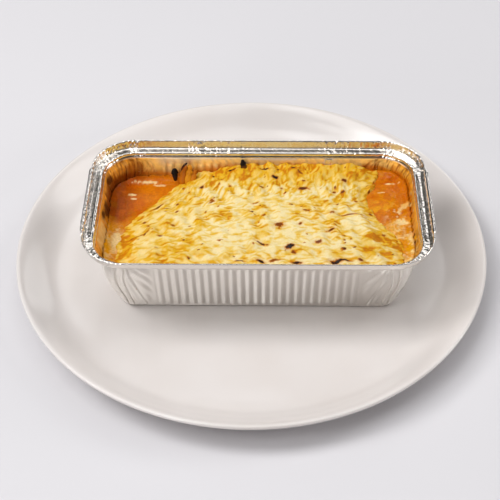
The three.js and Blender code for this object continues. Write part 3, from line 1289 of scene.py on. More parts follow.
    def fan_creases(self, stations: Stations, z: Array) -> Array:
        """Gives the creases that fan out down the walls from each corner of the rim.

        They are a noise of the angle about a point near the rim, so each one is straight.

        Args:
            stations: Places round the tray.
            z: Heights of the levels, as a column.

        Returns:
            The creases from about −1.3 to 1.4, faded in where they show.
        """
        apex_offset, apex_z = 14.0, 58.0
        offset = self.plain_offset(stations, z)
        away = offset - apex_offset
        drop = apex_z - z
        angle = np.arctan2(away, drop)
        distance = np.hypot(away, drop)
        side = stations.corner * 2 + (stations.offset > 0)
        place = angle + 40.0 * side[None, :]
        coarse = lattice_noise(place, distance, (0.085, 70.0), 31)
        fine = lattice_noise(place, distance, (0.055, 34.0), 32)
        shown = smooth_step(0, 4, away) * (1 - smooth_step(16, 22, away))
        shown = shown * smooth_step(4, 12, z) * (1 - smooth_step(42, 45.5, z))
        fan = shown * np.maximum(1.9 - 3.0 * np.abs(coarse) - 0.8 * np.abs(fine), -0.4)
        upright = smooth_step(1, 5, z) * (1 - smooth_step(41, 44.5, z))
        for at_top, at_foot in self.corner_lines:
            line = mix(at_foot, at_top, z / self.form.wall_top)
            pleat = bell(offset - line, 0.42) - 0.7 * bell(offset - line - 0.95, 0.42)
            fan = fan + 1.5 * upright * pleat
        return fan

    def lofted(
        self, stations: Stations, inset: Array, radius: Array, z: Array, relief: Array
    ) -> Array:
        """Places every vertex and pushes it out along the foil's own normal.

        Args:
            stations: Places round the tray.
            inset: Inset of each level.
            radius: Corner radius of each level.
            z: Height of each level.
            relief: Push towards the outside, as levels × stations.

        Returns:
            Places, as levels × stations × 3.
        """
        flat = stations.ring(inset, radius)
        outward, upward = np.gradient(-inset), np.gradient(z)
        length = np.hypot(outward, upward)
        push_out, push_up = (upward / length)[:, None], (-outward / length)[:, None]
        points = np.empty((*relief.shape, 3))
        points[..., :2] = flat + (relief * push_out)[..., None] * stations.normal[None]
        points[..., 2] = z[:, None] + relief * push_up
        return points

    def stain_of(self, points: Array, food_level: Array) -> Array:
        """Colours the baked film on the inside of the foil.

        The film is full at the food's level and runs out in streaks above it, highest in the
        corners and along the left side.

        Args:
            points: Places of the vertices.
            food_level: Height of the food beside each of them.

        Returns:
            Film colour and cover, one row a vertex.
        """
        x, y, z = points.T
        above = z - food_level
        streak = 0.5 + 0.5 * lattice_noise(x * 0.8 + y * 1.3, z, (1.6, 14.0), 51)
        blot = 0.5 + 0.5 * cloud_noise(x + 0.7 * z, y, 9.0, 52)
        front, right, back, left = self.films
        colour = painted(
            front,
            (back, smooth_step(0, 30, y)),
            (right, smooth_step(76, 92, x)),
            (left, smooth_step(62, 84, -x)),
        )
        fleck = 0.5 + 0.5 * cloud_noise(x * 0.9 + y * 1.1, z, 1.3, 54, 2)
        upper = smooth_step(4, 10, above)
        bright = 0.42 + 0.3 * upper + 0.35 * blot + 0.2 * streak + 0.5 * (fleck - 0.35)
        colour[:, :3] *= bright[:, None]
        end = smooth_step(52, 72, np.abs(x))
        cover = 0.9 + 0.08 * end + 0.1 * (streak - 0.5)
        cover = cover * (1 - 0.45 * (1 - end) * smooth_step(0.8, 1.2, above / (9.5 + 4.0 * blot)))
        colour[:, 3] = np.clip(cover, 0, 0.98) * (z < self.form.wall_top + 0.4)
        # Dark lines that fan out from the corners: painted shade and reflection in the creases,
        # with baked sauce in them
        around = np.arctan2(y - np.sign(y) * 24, x - np.sign(x) * 70)
        crease = bell(lattice_noise(around, z, (0.042, 18.0), 55), 0.14)
        corner = smooth_step(62, 78, np.abs(x)) * smooth_step(10, 26, np.abs(y))
        crease_shade_and_crust = np.array(linear_colour(self.crease_shade_and_crust))
        colour = mix(colour, crease_shade_and_crust, (0.8 * crease * corner)[:, None])
        sauce = SauceTint().at(x, y, np.full(len(x), 2.0))
        sauce[:, 3] = 1.0
        run_down = np.maximum(above - 3.0, 0) / (1.2 + 8.0 * streak * blot + 2.0 * (x < 0))
        colour = mix(colour, sauce, (0.92 * (1 - smooth_step(0.1, 1.0, run_down)))[:, None])
        for stain in self.stains:
            away = np.hypot(x - stain.place[0], y - stain.place[1]) / stain.size[0]
            rise = (z - stain.place[2]) / stain.size[1]
            edge = 0.35 * cloud_noise(x + y, z, 3.0, 53)
            share = stain.cover * (1 - smooth_step(0.55, 1.1, np.hypot(away, rise) + edge))
            spot = np.array([*linear_colour(stain.colour)[:3], 0.0 if stain.bare else 1.0])
            colour = mix(colour, spot[None], share[:, None])
        return colour

    def body_skin(self, food_level: Surface) -> Skin:
        """Lofts the base and the ribbed walls.

        Args:
            food_level: The food's height by x and y.

        Returns:
            The skin of the foil's middle, facing outwards.
        """
        form = self.form
        stations = Stations.lay(form, side_step=0.6, corner_step=0.36)
        wall_z = np.concatenate([np.linspace(*span) for span in self.levels])
        inset, radius = form.wall(wall_z)
        foot = np.array(self.foot)
        base_inset, base_radius = form.wall(np.zeros(len(foot)))
        inset = np.concatenate([base_inset + foot[:, 0], inset])
        radius = np.concatenate([base_radius - foot[:, 0], radius])
        z = np.concatenate([foot[:, 1], wall_z])
        level, run = z[:, None], stations.run[None, :]
        relief = stations.ribs(level)
        free = smooth_step(0.5, 6, level) * (1 - smooth_step(45.2, 46.2, level))
        share = stations.corner_share(3.0)[None, :] * free
        relief = relief + 0.16 * share * (self.folds(run, level, 1.5, 9.0, 21) + 0.7)
        middle = (1 - smooth_step(7, 15, np.abs(stations.offset)))[None, :] * free
        relief = relief + 0.16 * middle * (self.folds(run, level, 1.5, 3.0, 26) + 0.9)
        relief = relief + 0.6 * self.fan_creases(stations, level)
        dents = lattice_noise(run, level, (form.perimeter / 23, 17.0), 24, 23)
        relief = relief + 0.05 * dents * smooth_step(1, 8, level) * (1 - smooth_step(42, 46, level))
        points = self.lofted(stations, inset, radius, z, relief)
        floor_rings = np.array([0.35, 0.75])[:, None, None] * points[:1]
        floor_rings[..., 2] = z[0]
        every, faces = capped_rings(np.concatenate([floor_rings, points]), (0, 0, z[0]))
        level_there = food_level(every[:, 0] * 0.985, every[:, 1] * 0.97)
        return Skin(every, faces, {"stain": self.stain_of(every, level_there)})

    def rim_skin(self) -> Skin:
        """Lofts the shoulder bead, the ledge, the flange and the hem.

        Returns:
            The skin of the foil's middle, facing outwards.
        """
        form = self.form
        stations = Stations.lay(form, side_step=0.42, corner_step=0.23)
        line = rounded_line(self.rim_profile, trim=0.5, steps=5)
        profile = spread_along(line, 27, turn_worth=0.5)
        inset, z = profile[:, 0], profile[:, 1]
        step = np.hypot(np.diff(inset), np.diff(z))
        along = np.concatenate([[0], np.cumsum(step)])[:, None]
        radius = np.maximum(form.rim_radius - inset, 1.0)
        level, out, run = z[:, None], inset[:, None], stations.run[None, :]
        rise = smooth_step(46.3, 48.0, level)
        crushed = stations.weight(1.0, self.crushed)[None, :] * rise
        relief = 0.0
        for depth, pitch, length, seed in self.rim_folds:
            relief = relief + depth * crushed * self.folds(run, along, pitch, length, seed)
        pressed = stations.weight(0.0, self.pressed)[None, :] * rise
        groups = 0.35 + 0.65 * smooth_step(
            -0.3, 0.4, lattice_noise(run, along * 0, (form.perimeter / 26, 1.0), 45, 26)
        )
        relief = relief + 0.16 * pressed * groups * self.folds(run, along, 1.2, 3.0, 43)
        relief = relief + 0.12 * rise * lattice_noise(
            run, along * 0, (form.perimeter / 19, 1.0), 44, 19
        )
        points = self.lofted(stations, inset, radius, z, relief)
        on_ledge = smooth_step(48.4, 49.3, level) * (1 - smooth_step(49.6, 50.2, level))
        fall = np.interp(out, [1.75, 2.0, 3.95, 6.2], [0.0, 0.85, 1.0, 0.0])
        swell = np.interp(out, [2.0, 5.45, 6.2], [0.0, 1.0, 0.0])
        right_share = stations.weight(0.0, (0.0, 1.0, 0.0, 0.0))[None, :]
        left_share = stations.weight(0.0, (0.0, 0.0, 0.0, 1.0))[None, :]
        bent = left_share * swell - right_share * fall
        points[..., 2] += self.ledge_dish * bent * on_ledge
        on_short = np.abs(stations.normal[:, 0]) > 0.999
        ends = 1 - smooth_step(0, 1.0, np.abs(stations.along_y) - 27.5)
        past_top = smooth_step(0.0, 1.6, along - along[np.argmax(z)] + 0.9)
        flare = past_top * self.hem_flare * ends * on_short
        points[..., :2] += flare[..., None] * stations.normal[None]
        return Skin(points.reshape(-1, 3), [grid_faces(len(z), points.shape[1], closed=True)])

    def build(self, food_level: Surface) -> list[Piece]:
        """Makes the tray's two pieces and gives the foil its thickness.

        Args:
            food_level: The food's height by x and y.

        Returns:
            The walls and the rim.
        """
        satin, bright, baked = SATIN_FOIL.build(), BRIGHT_FOIL.build(), BakedFoil().build()
        makes = (
            ("foil_tray_walls", self.body_skin(food_level), [satin, baked]),
            ("foil_tray_rim", self.rim_skin(), [bright, bright]),
        )
        pieces = []
        for name, skin, materials in makes:
            piece = make_piece(name, skin, self.form.centre, materials, Solid.TRAY)
            wall = piece.modifiers.new("foil_thickness", "SOLIDIFY")
            wall.thickness = self.form.foil * MM
            wall.offset = 0.0
            wall.material_offset = 1
            wall.material_offset_rim = 0
            pieces.append(piece)
        return pieces


# The food


@dataclass(frozen=True)
class LasagnaBed:
    """The uneven level of pasta and sauce that the cheese lies on.

    Attributes:
        level: Its usual height over the tray's base.
        sink: How far its left end and its left back corner sink.
        swell: How far it swells at the right end.
        wave: Height of its waves.
        ridges: x, y, length and slope of ridges in the sauce.
        ridge_height: Height of those ridges.
    """

    level: float = 37.2
    sink: float = 5.2
    swell: float = 1.5
    wave: float = 0.35
    ridges: tuple[tuple[float, float, float, float], ...] = (
        (-70.8, 41.0, 15.0, 0.0), (-79.1, 29.4, 4.0, 0.0), (82.5, 34.8, 6.0, -0.3),
    )
    ridge_height: float = 0.5

    def top(self, x: Array, y: Array) -> Array:
        """Gives the bed's height.

        It is level − sink in the left back corner and at the left end, + a swell at the right
        end, + wave · sin(x / 11 + 0.6) · cos(y / 9 − 0.4) all over.

        Args:
            x: Places along the tray.
            y: Places across it.

        Returns:
            Heights over the tray's base.
        """
        corner = smooth_step(0, 34, 0.75 * (-36 - x) + 0.66 * (y - 10))
        end = smooth_step(60, 82, -x)
        sunk = self.sink * (1 - (1 - corner) * (1 - end))
        swell = self.swell * bell(x - 79, 10) * bell(y - 17, 14)
        waves = self.wave * np.sin(x / 11 + 0.6) * np.cos(y / 9 - 0.4)
        return self.level - sunk + swell + waves

    def sauce(self, x: Array, y: Array) -> Array:
        """Gives the waves of the sauce on the bed.

        They are soft clouds of noise, + three ridges that catch the light.

        Args:
            x: Places along the tray.
            y: Places across it.

        Returns:
            The waves' height.
        """
        waves = 0.16 * cloud_noise(x, y, 8.0, 81) + 0.04 * cloud_noise(x, y, 2.2, 82)
        for ridge_x, ridge_y, length, slope in self.ridges:
            across = y - ridge_y - slope * (x - ridge_x)
            waves = waves + self.ridge_height * bell(x - ridge_x, length / 2) * bell(across, 1.1)
        return waves

    def from_wall(self, form: TrayForm, x: Array, y: Array) -> Array:
        """Gives the distance from the foil at the bed's level.

        Args:
            form: The tray's sizes.
            x: Places along the tray.
            y: Places across it.

        Returns:
            Distances, less than 0 beyond the foil.
        """
        inset, radius = form.wall(self.level)
        past_x = np.abs(x) - (form.half_length - inset - radius)
        past_y = np.abs(y) - (form.half_width - inset - radius)
        beyond = np.hypot(np.maximum(past_x, 0), np.maximum(past_y, 0))
        return radius - beyond - np.minimum(np.maximum(past_x, past_y), 0)


@dataclass(frozen=True)
class Scorch:
    """A browned or burnt mark on the cheese.

    Attributes:
        x: Its middle along the tray.
        y: Its middle across the tray.
        length: Its length.
        width: Its width.
        heading: Its direction in degrees from +X.
        depth: How dark it is, from golden brown at 0.3 to black at 1.
    """

    x: float
    y: float
    length: float
    width: float
    heading: float
    depth: float


SCORCHES = tuple(
    Scorch(*mark)
    for mark in (
        (-16.7, 43.2, 6, 1.6, 20, 0.9), (3.5, 42.6, 6.5, 1.4, 0, 0.9),
        (21.8, 42.6, 3.5, 1.6, -10, 0.8), (26.5, 39.5, 4, 1.6, -35, 0.6),
        (10.4, 35, 4.5, 2.8, -25, 0.95), (27.8, 24.9, 7, 3, 0, 0.75),
        (1.7, 26.4, 3, 1.8, 10, 0.75), (14.5, 25.5, 2.6, 2, 80, 0.5),
        (28, 31.5, 2.4, 1.4, -20, 0.65), (-35, 26.9, 3, 2.4, 60, 0.8),
        (-43, 22.5, 2, 1.2, 40, 0.6), (-28.2, 12.5, 2.8, 2.8, 0, 0.5),
        (-17.5, 26, 2, 1.6, 20, 0.5), (-1.2, 10.4, 3.5, 2, 10, 0.6),
        (29.2, 4.2, 4.5, 1.6, -25, 0.7), (12.7, -8.5, 5, 4, 30, 0.65),
        (25.3, -7.5, 3.2, 1.8, 25, 0.6), (43.7, -12.7, 4.5, 2.2, 10, 0.75),
        (44.9, 2.5, 2.8, 2, 0, 0.5), (55.7, 1.2, 16, 0.9, -2, 0.55),
        (53.4, 32.2, 4.5, 2.4, 15, 0.7), (47, 22.6, 2, 2, 0, 0.65),
        (52.4, 22, 3, 1.8, 30, 0.7), (60, 14.6, 2.6, 1.8, 0, 0.5),
        (72, 34, 5, 1.6, 70, 0.45), (2.6, -24.3, 7, 1.5, -25, 0.85),
        (19.1, -26.7, 5.5, 2.6, 10, 0.95), (21.4, -31.5, 4, 2.2, -60, 0.6),
        (35.7, -23.2, 4, 2, -15, 0.7), (-61.5, 11.9, 8, 1.6, 12, 0.75),
        (-56, 7.5, 5, 1, -20, 0.55), (-49, 9.8, 2, 1.6, 0, 0.65),
        (-49.3, 3.4, 2.6, 1.5, 20, 0.6), (-68.4, -2.7, 3, 1.6, -30, 0.7),
        (-66, -7.2, 3, 1.2, -60, 0.45), (-50.9, -8.5, 2.6, 2, 0, 0.5),
        (-58.2, -17.6, 2.8, 1.6, -10, 0.65), (-71.4, -13.6, 15, 1, 5, 0.6),
        (-10.1, -39.6, 4.5, 2, 10, 0.9), (1.6, -39.5, 5, 2, 0, 0.95),
        (10.3, -38.6, 6, 3, 0, 0.55), (23, -40.2, 6, 1.6, 0, 0.9),
        (48.6, -38.8, 11, 2.6, 8, 1), (60.2, -38.3, 4, 2.4, -20, 0.7),
        (75, -15.3, 3, 2, 10, 0.5),
    )
)


@dataclass
class FoodRaster:
    """An even raster over the tray on which the shreds of cheese are laid.

    Attributes:
        half_length: Half its length.
        half_width: Half its width.
        cell: Size of a cell.
    """

    half_length: float = 94.0
    half_width: float = 50.0
    cell: float = 0.34

    def __post_init__(self) -> None:
        """Works out the places of the cells."""
        self.columns = int(2 * self.half_length / self.cell) + 1
        self.rows = int(2 * self.half_width / self.cell) + 1
        self.x = -self.half_length + np.arange(self.columns) * self.cell
        self.y = -self.half_width + np.arange(self.rows) * self.cell

    def blurred(self, values: Array, radius: float) -> Array:
        """Blurs a raster by a bell curve, through its Fourier transform.

        Args:
            values: One value a cell.
            radius: The bell's standard deviation.

        Returns:
            The blurred raster.
        """
        pad = int(3 * radius / self.cell) + 2
        wide = np.pad(values, pad, mode="edge")
        across = np.fft.rfftfreq(wide.shape[1], self.cell)[None, :]
        along = np.fft.fftfreq(wide.shape[0], self.cell)[:, None]
        pass_share = np.exp(-2 * (np.pi * radius) ** 2 * (across**2 + along**2))
        smooth = np.fft.irfft2(np.fft.rfft2(wide) * pass_share, s=wide.shape)
        return smooth[pad:-pad, pad:-pad]

    def read(self, values: Array, x: Array, y: Array) -> Array:
        """Reads a raster between its cells in straight lines.

        Args:
            values: One value a cell.
            x: Places along the tray.
            y: Places across it.

        Returns:
            The value at each place.
        """
        across = np.clip((x + self.half_length) / self.cell, 0, self.columns - 1.001)
        along = np.clip((y + self.half_width) / self.cell, 0, self.rows - 1.001)
        i, j = along.astype(int), across.astype(int)
        f, g = along - i, across - j
        near = mix(values[i, j], values[i, j + 1], g)
        far = mix(values[i + 1, j], values[i + 1, j + 1], g)
        return mix(near, far, f)


@dataclass(frozen=True)
class Strokes:
    """Short bent strokes laid one by one on a raster: shreds of cheese or creases between them.

    Attributes:
        count: How many there are.
        seed: Picks where and how each one lies.
        half_width: Least and most half width.
        length: Least and most length.
        scatter: How far headings stray from the flow, in radians.
    """

    count: int
    seed: int
    half_width: tuple[float, float]
    length: tuple[float, float]
    scatter: float

    def flow(self, x: Array, y: Array) -> Array:
        """Gives the heading in which the shreds mostly lie.

        They lie along the tray, fan out at the left, and stand upright in the picture near
        the back.

        Args:
            x: Places along the tray.
            y: Places across it.

        Returns:
            Headings in radians.
        """
        upright = smooth_step(8, 24, y) * (1 - smooth_step(52, 66, np.abs(x - 8)))
        fan = bell(x + 46, 20) * bell(y - 6, 16)
        sway = 0.3 * cloud_noise(x, y, 26.0, self.seed + 1)
        return sway + 1.4 * upright + 0.9 * fan * (1 - upright)

    def laid(self, raster: FoodRaster) -> Iterator[Stroke]:
        """Yields the strokes one by one.

        Args:
            raster: Where they are laid.

        Yields:
            The stroke's number, its window of the raster, how high each cell of the window is
            in it as √(1 − (v / w)²), and how far along it the cell is from −1 to 1.
        """
        random = np.random.default_rng(self.seed)
        spots = random.uniform(-1, 1, (self.count, 2))
        spots *= [raster.half_length - 3, raster.half_width - 3]
        heading = self.flow(spots[:, 0], spots[:, 1])
        heading = heading + random.normal(0, self.scatter, self.count)
        length = random.uniform(*self.length, self.count)
        half_width = random.uniform(*self.half_width, self.count)
        bend = random.normal(0, 0.1, self.count) * length
        for k in range(self.count):
            reach = length[k] / 2 + half_width[k]
            columns = np.searchsorted(raster.x, [spots[k, 0] - reach, spots[k, 0] + reach])
            rows = np.searchsorted(raster.y, [spots[k, 1] - reach, spots[k, 1] + reach])
            window = (slice(rows[0], rows[1]), slice(columns[0], columns[1]))
            dx = raster.x[None, window[1]] - spots[k, 0]
            dy = raster.y[window[0], None] - spots[k, 1]
            ahead, beside = np.cos(heading[k]), np.sin(heading[k])
            share = np.clip(2 * (dx * ahead + dy * beside) / length[k], -1, 1)
            v = dy * ahead - dx * beside - bend[k] * (0.5 - share**2)
            width = half_width[k] * np.sqrt(1 - np.abs(share) ** 4) + 1e-6
            yield k, window, np.sqrt(np.clip(1 - (v / width) ** 2, 0, 1)), share


@dataclass
class MeltedShreds:
    """Rasters of a pile of grated shreds that have melted into each other.

    Attributes:
        raster: Where they are laid.
        broad: The shreds that have run into soft folds.
        fine: The shreds on top that have kept their shape.
        creases: Short creases between them, painted golden partly as shade and partly for fat.
        browned_tips: Share of the fine shreds that have a browned tip.
    """

    raster: FoodRaster
    broad: Strokes = Strokes(620, 7, (1.3, 2.4), (12.0, 30.0), 0.35)
    fine: Strokes = Strokes(900, 8, (0.5, 0.95), (7.0, 20.0), 0.42)
    creases: Strokes = Strokes(1500, 9, (0.35, 0.75), (2.5, 8.0), 0.3)
    browned_tips: float = 0.1

    def __post_init__(self) -> None:
        """Piles the shreds up and presses the creases in."""
        shape = (self.raster.rows, self.raster.columns)
        height = np.zeros(shape)
        self.tone = np.full(shape, 0.5)
        self.browned = np.zeros(shape)
        random = np.random.default_rng(5)
        for strokes, lift in ((self.broad, 0.8), (self.fine, 0.5)):
            shade = random.beta(2.0, 2.0, strokes.count)
            tip = random.uniform(0, 1, strokes.count) < self.browned_tips
            for k, window, across, share in strokes.laid(self.raster):
                inside = across > 0
                if not inside.any():
                    continue
                here = height[window]
                rest = 0.8 * here[inside].mean() + 0.2 * here[inside].max()
                lifted = rest + lift * across - 0.12
                over = inside & (lifted > here)
                here[over] = lifted[over]
                self.tone[window][over] = shade[k]
                brown = tip[k] * smooth_step(0.6, 0.95, share)
                self.browned[window][over] = np.broadcast_to(brown, over.shape)[over]
            if strokes is self.broad:
                height = self.raster.blurred(height, 0.75)
        relief = height - self.raster.blurred(height, 3.4)
        self.relief = 0.3 * relief + 0.7 * self.raster.blurred(relief, 0.55)
        crease = np.zeros(shape)
        depth = np.random.default_rng(6).uniform(0.35, 1.0, self.creases.count)
        for k, window, across, _ in self.creases.laid(self.raster):
            crease[window] = np.maximum(crease[window], depth[k] * across)
        self.crease = self.raster.blurred(crease, 0.3)
        self.relief = self.relief - 0.22 * self.crease
        # Hollows between the shreds, which turn golden: painted shade, with fat pooled in them
        self.hollow_shade_and_fat = np.clip(-self.raster.blurred(relief, 0.4) / 0.45, 0, 1)


@dataclass
class CheeseTopping:
    """The browned cheese, a pile of melted shreds from wall to wall.

    Attributes:
        form: The tray's sizes.
        bed: The bed that it lies on.
        left_edge: x of its left edge at even shares of the tray's width, from the front.
        right_edge: x of its right edge in the same way.
        golden: x, y and reach of patches that have browned through.
        thickness: Usual thickness.
        columns: Cells along it.
        rows: Cells across it.
        coarser: Upper cells to a lower one.
        overhang: How far the mesh runs on under the sauce past the edges.
        cream: Colour where it has only melted.
        butter: Colour where it begins to brown.
        gold: Colour of its creases and hollows, partly painted shade and partly fat pooled there.
        amber: Colour where fat and sauce have browned it through.
        toast: Colour of toasted tips.
        char: Colour of scorched spots.
    """

    form: TrayForm
    bed: LasagnaBed
    left_edge: tuple[float, ...] = (-82, -84, -84.5, -84, -80, -72, -63, -55, -47)
    right_edge: tuple[float, ...] = (87, 87, 86, 80, 74, 68, 68, 72, 75)
    golden: tuple[tuple[float, float, float], ...] = (
        (-44.5, 11, 6.5), (-38.8, -26.4, 7), (-32, -32, 8), (-17, -34, 7),
        (-48.7, -7.2, 4), (-58, -24, 6), (-20, 3, 5), (12, 12, 5),
        (57.7, 38, 6), (46, -33, 7), (66, -28, 6),
    )
    thickness: float = 4.3
    columns: int = 420
    rows: int = 204
    coarser: int = 6
    overhang: float = 5.0
    cream: str = "#E4D29E"
    butter: str = "#DEBE66"
    gold: str = "#D4A21A"
    amber: str = "#BC7204"
    toast: str = "#7A3B0C"
    char: str = "#20130D"

    def __post_init__(self) -> None:
        """Lays the shreds."""
        self.raster = FoodRaster()
        self.shreds = MeltedShreds(self.raster)

    def ripple(self, x: Array, y: Array) -> Array:
        """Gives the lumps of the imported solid: a sum of 14 sine ripples in all directions.

        Args:
            x: Places along the tray.
            y: Places across it.

        Returns:
            The lumps, about −2 to 2.
        """
        state = 11
        total = np.zeros(np.broadcast(x, y).shape)
        numbers = []
        for _ in range(14 * 3):
            state = (state * 1664525 + 1013904223) % 4294967296
            numbers.append(state / 4294967296)
        for angle, wavelength, phase in np.array(numbers).reshape(-1, 3):
            turns = TAU / (6 + 11 * wavelength)
            kx, ky = np.cos(angle * np.pi) * turns, np.sin(angle * np.pi) * turns
            total += np.sin(kx * x + ky * y + phase * 6.3)
        return total / np.sqrt(14)

    def inside(self, x: Array, y: Array) -> Array:
        """Gives how far inside the cheese's ragged ends a place is.

        Args:
            x: Places along the tray.
            y: Places across it.

        Returns:
            Millimetres from the nearer end, less than 0 beyond it.
        """
        share = (y / self.form.reach(x, self.bed.level) + 1) / 2
        left = through(self.left_edge, share)
        right = through(self.right_edge, share)
        ragged = 2.0 * cloud_noise(x, y, 6.0, 61) + 0.5 * cloud_noise(x, y, 1.8, 65)
        return np.minimum(x - left, right - x) + ragged

    def top(self, x: Array, y: Array) -> Array:
        """Gives the height of the cheese over the tray's base.

        It is the bed + the thickness with its mound, its rise at the back and its thin left
        end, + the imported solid's ripples + the relief of the shreds. It thins to 0.3 of that
        towards its ends, and past them it sinks below the sauce.

        Args:
            x: Places along the tray.
            y: Places across it.

        Returns:
            Heights.
        """
        mound = 1.1 * bell(x, 60) * bell(y, 30)
        back = 1.3 * smooth_step(28, 42, y) * smooth_step(-30, 0, x)
        thin = 1.6 * smooth_step(50, 80, -x)
        thick = self.thickness + mound + back - thin + 0.75 * self.ripple(x, y)
        inside = self.inside(x, y)
        thick = np.maximum(thick, 1.4) * (0.3 + 0.7 * smooth_step(0, 15, inside))
        bare = -0.9 - 0.25 * np.maximum(-1.2 - inside, 0)
        height = mix(bare, thick, smooth_step(-1.2, 1.2, inside))
        relief = self.raster.read(self.shreds.relief, x, y)
        return self.bed.top(x, y) + height + 0.42 * relief * smooth_step(-2, 2, inside)

    def scorched(self, x: Array, y: Array) -> tuple[Array, Array]:
        """Gives the scorch marks.

        Args:
            x: Places along the tray.
            y: Places across it.

        Returns:
            How scorched each place is, and how golden the ring round the marks makes it.
        """
        depth, halo = np.zeros(len(x)), np.zeros(len(x))
        edge = 0.55 * cloud_noise(x, y, 1.5, 64)
        for mark in SCORCHES:
            turn = np.radians(mark.heading)
            dx, dy = x - mark.x, y - mark.y
            u = (dx * np.cos(turn) + dy * np.sin(turn)) / (mark.length / 2)
            v = (dy * np.cos(turn) - dx * np.sin(turn)) / (mark.width / 2)
            away = np.hypot(u, v) + edge
            depth = np.maximum(depth, mark.depth * (1 - smooth_step(0.5, 1.3, away)))
            halo = np.maximum(halo, mark.depth * (1 - smooth_step(0.8, 2.3, away)))
        return depth, halo

    def colours(self, x: Array, y: Array) -> Array:
        """Colours the cheese.

        Ridges are cream; creases and hollows are golden, partly as painted shade and partly for fat
        pooled in them. Its ends and its back are browner, tips of shreds are toasted, and the
        scorch marks go from toast to black.

        Args:
            x: Places along the tray.
            y: Places across it.

        Returns:
            Colours in linear light, one row a place.
        """
        shreds, read = self.shreds, self.raster.read
        hollow_shade_and_fat, crease = read(shreds.hollow_shade_and_fat, x, y), read(shreds.crease, x, y)
        tone, browned = read(shreds.tone, x, y), read(shreds.browned, x, y)
        inside = self.inside(x, y)
        zone = 0.5 + 0.5 * cloud_noise(x, y, 12.0, 62)
        border = 1 - smooth_step(1, 11, inside)
        border = np.maximum(border, 1.12 * smooth_step(22, 42, y))
        border = np.maximum(border, 0.45 * smooth_step(25, 60, -x))
        border = np.maximum(border, 0.6 * smooth_step(30, 42, -y) * smooth_step(0, 60, -x))
        blotch = smooth_step(0.6, 0.85, 0.5 + 0.5 * cloud_noise(x, y, 6.0, 66))
        for patch_x, patch_y, reach in self.golden:
            away = np.hypot(x - patch_x, 1.3 * (y - patch_y)) / reach
            blotch = np.maximum(blotch, 1 - smooth_step(0.2, 1.1, away + 0.9 * (0.5 - zone)))
        soaked = smooth_step(0.02, 0.4, cloud_noise(x + 3 * zone, y, 6.5, 67, 2))
        soaked = soaked * np.maximum(
            smooth_step(58, 70, x) * smooth_step(4, 18, -y), 0.8 * smooth_step(64, 78, -x)
        )
        # Creases and hollows turn golden: painted shade in them, and fat pooled there
        brown = 0.05 + 1.1 * crease * (0.5 + zone) + 0.26 * hollow_shade_and_fat * (0.4 + zone)
        brown = brown + 0.3 * (tone - 0.5) + 0.3 * (zone - 0.5) + 0.6 * border + 0.5 * blotch
        brown = brown + 0.9 * soaked
        depth, halo = self.scorched(x, y)
        dark = np.maximum(0.8 * browned, depth)
        return painted(
            self.cream,
            (self.butter, smooth_step(0.0, 0.5, brown)),
            (self.gold, smooth_step(0.4, 0.95, brown)),
            (self.amber, smooth_step(0.95, 1.5, brown)),
            (self.amber, np.maximum(smooth_step(0.0, 0.3, dark), 0.6 * halo)),
            (self.toast, smooth_step(0.3, 0.6, dark)),
            (self.char, smooth_step(0.62, 0.88, dark)),
        )

    def spots(self, columns: int, rows: int, z: float) -> tuple[Array, Array]:
        """Spreads a grid over the cheese between its ends and the tray's walls.

        Args:
            columns: Cells along it.
            rows: Cells across it.
            z: Height at which the walls are met.

        Returns:
            x and y of the grid's vertices.
        """
        s, t = np.meshgrid(np.linspace(0, 1, columns + 1), np.linspace(0, 1, rows + 1))
        left = through(self.left_edge, t) - self.overhang
        right = through(self.right_edge, t) + self.overhang
        x = mix(left, right, s)
        return x, (2 * t - 1) * self.form.reach(x, z)

    def skin(self) -> Skin:
        """Raises the grid to the cheese's height and closes it below the bed.

        Returns:
            The cheese's closed skin with its colours.
        """
        x, y = self.spots(self.columns, self.rows, self.bed.level + 3)
        z = self.top(x, y)
        edge = self.form.reach(x, z) / self.form.reach(x, self.bed.level + 3)
        upper = np.stack([x, y * edge, z], axis=-1)
        low_columns, low_rows = self.columns // self.coarser, self.rows // self.coarser
        x, y = self.spots(low_columns, low_rows, self.bed.level)
        z = self.bed.top(x, y) - 2.2
        edge = self.form.reach(x, z) / self.form.reach(x, self.bed.level)
        lower = np.stack([x, y * edge, z], axis=-1)
        points, faces = closed_block(upper, lower, self.coarser)
        return Skin(points, faces, {"tint": self.colours(points[:, 0], points[:, 1])})

    def build(self) -> Piece:
        """Makes the cheese."""
        finish = [CHEESE_FINISH.build()]
        return make_piece("browned_cheese", self.skin(), self.form.centre, finish, Solid.CHEESE)


@dataclass(frozen=True)
class Curl:
    """A scorched curl of cheese or pasta that stands up from the food.

    Attributes:
        path: Its middle line from root to tip.
        half_width: Half its width.
        half_depth: Half its thickness.
        root: Colour at its root.
        tip: Colour at its tip.
    """

    path: tuple[tuple[float, float, float], ...]
    half_width: float
    half_depth: float
    root: str
    tip: str


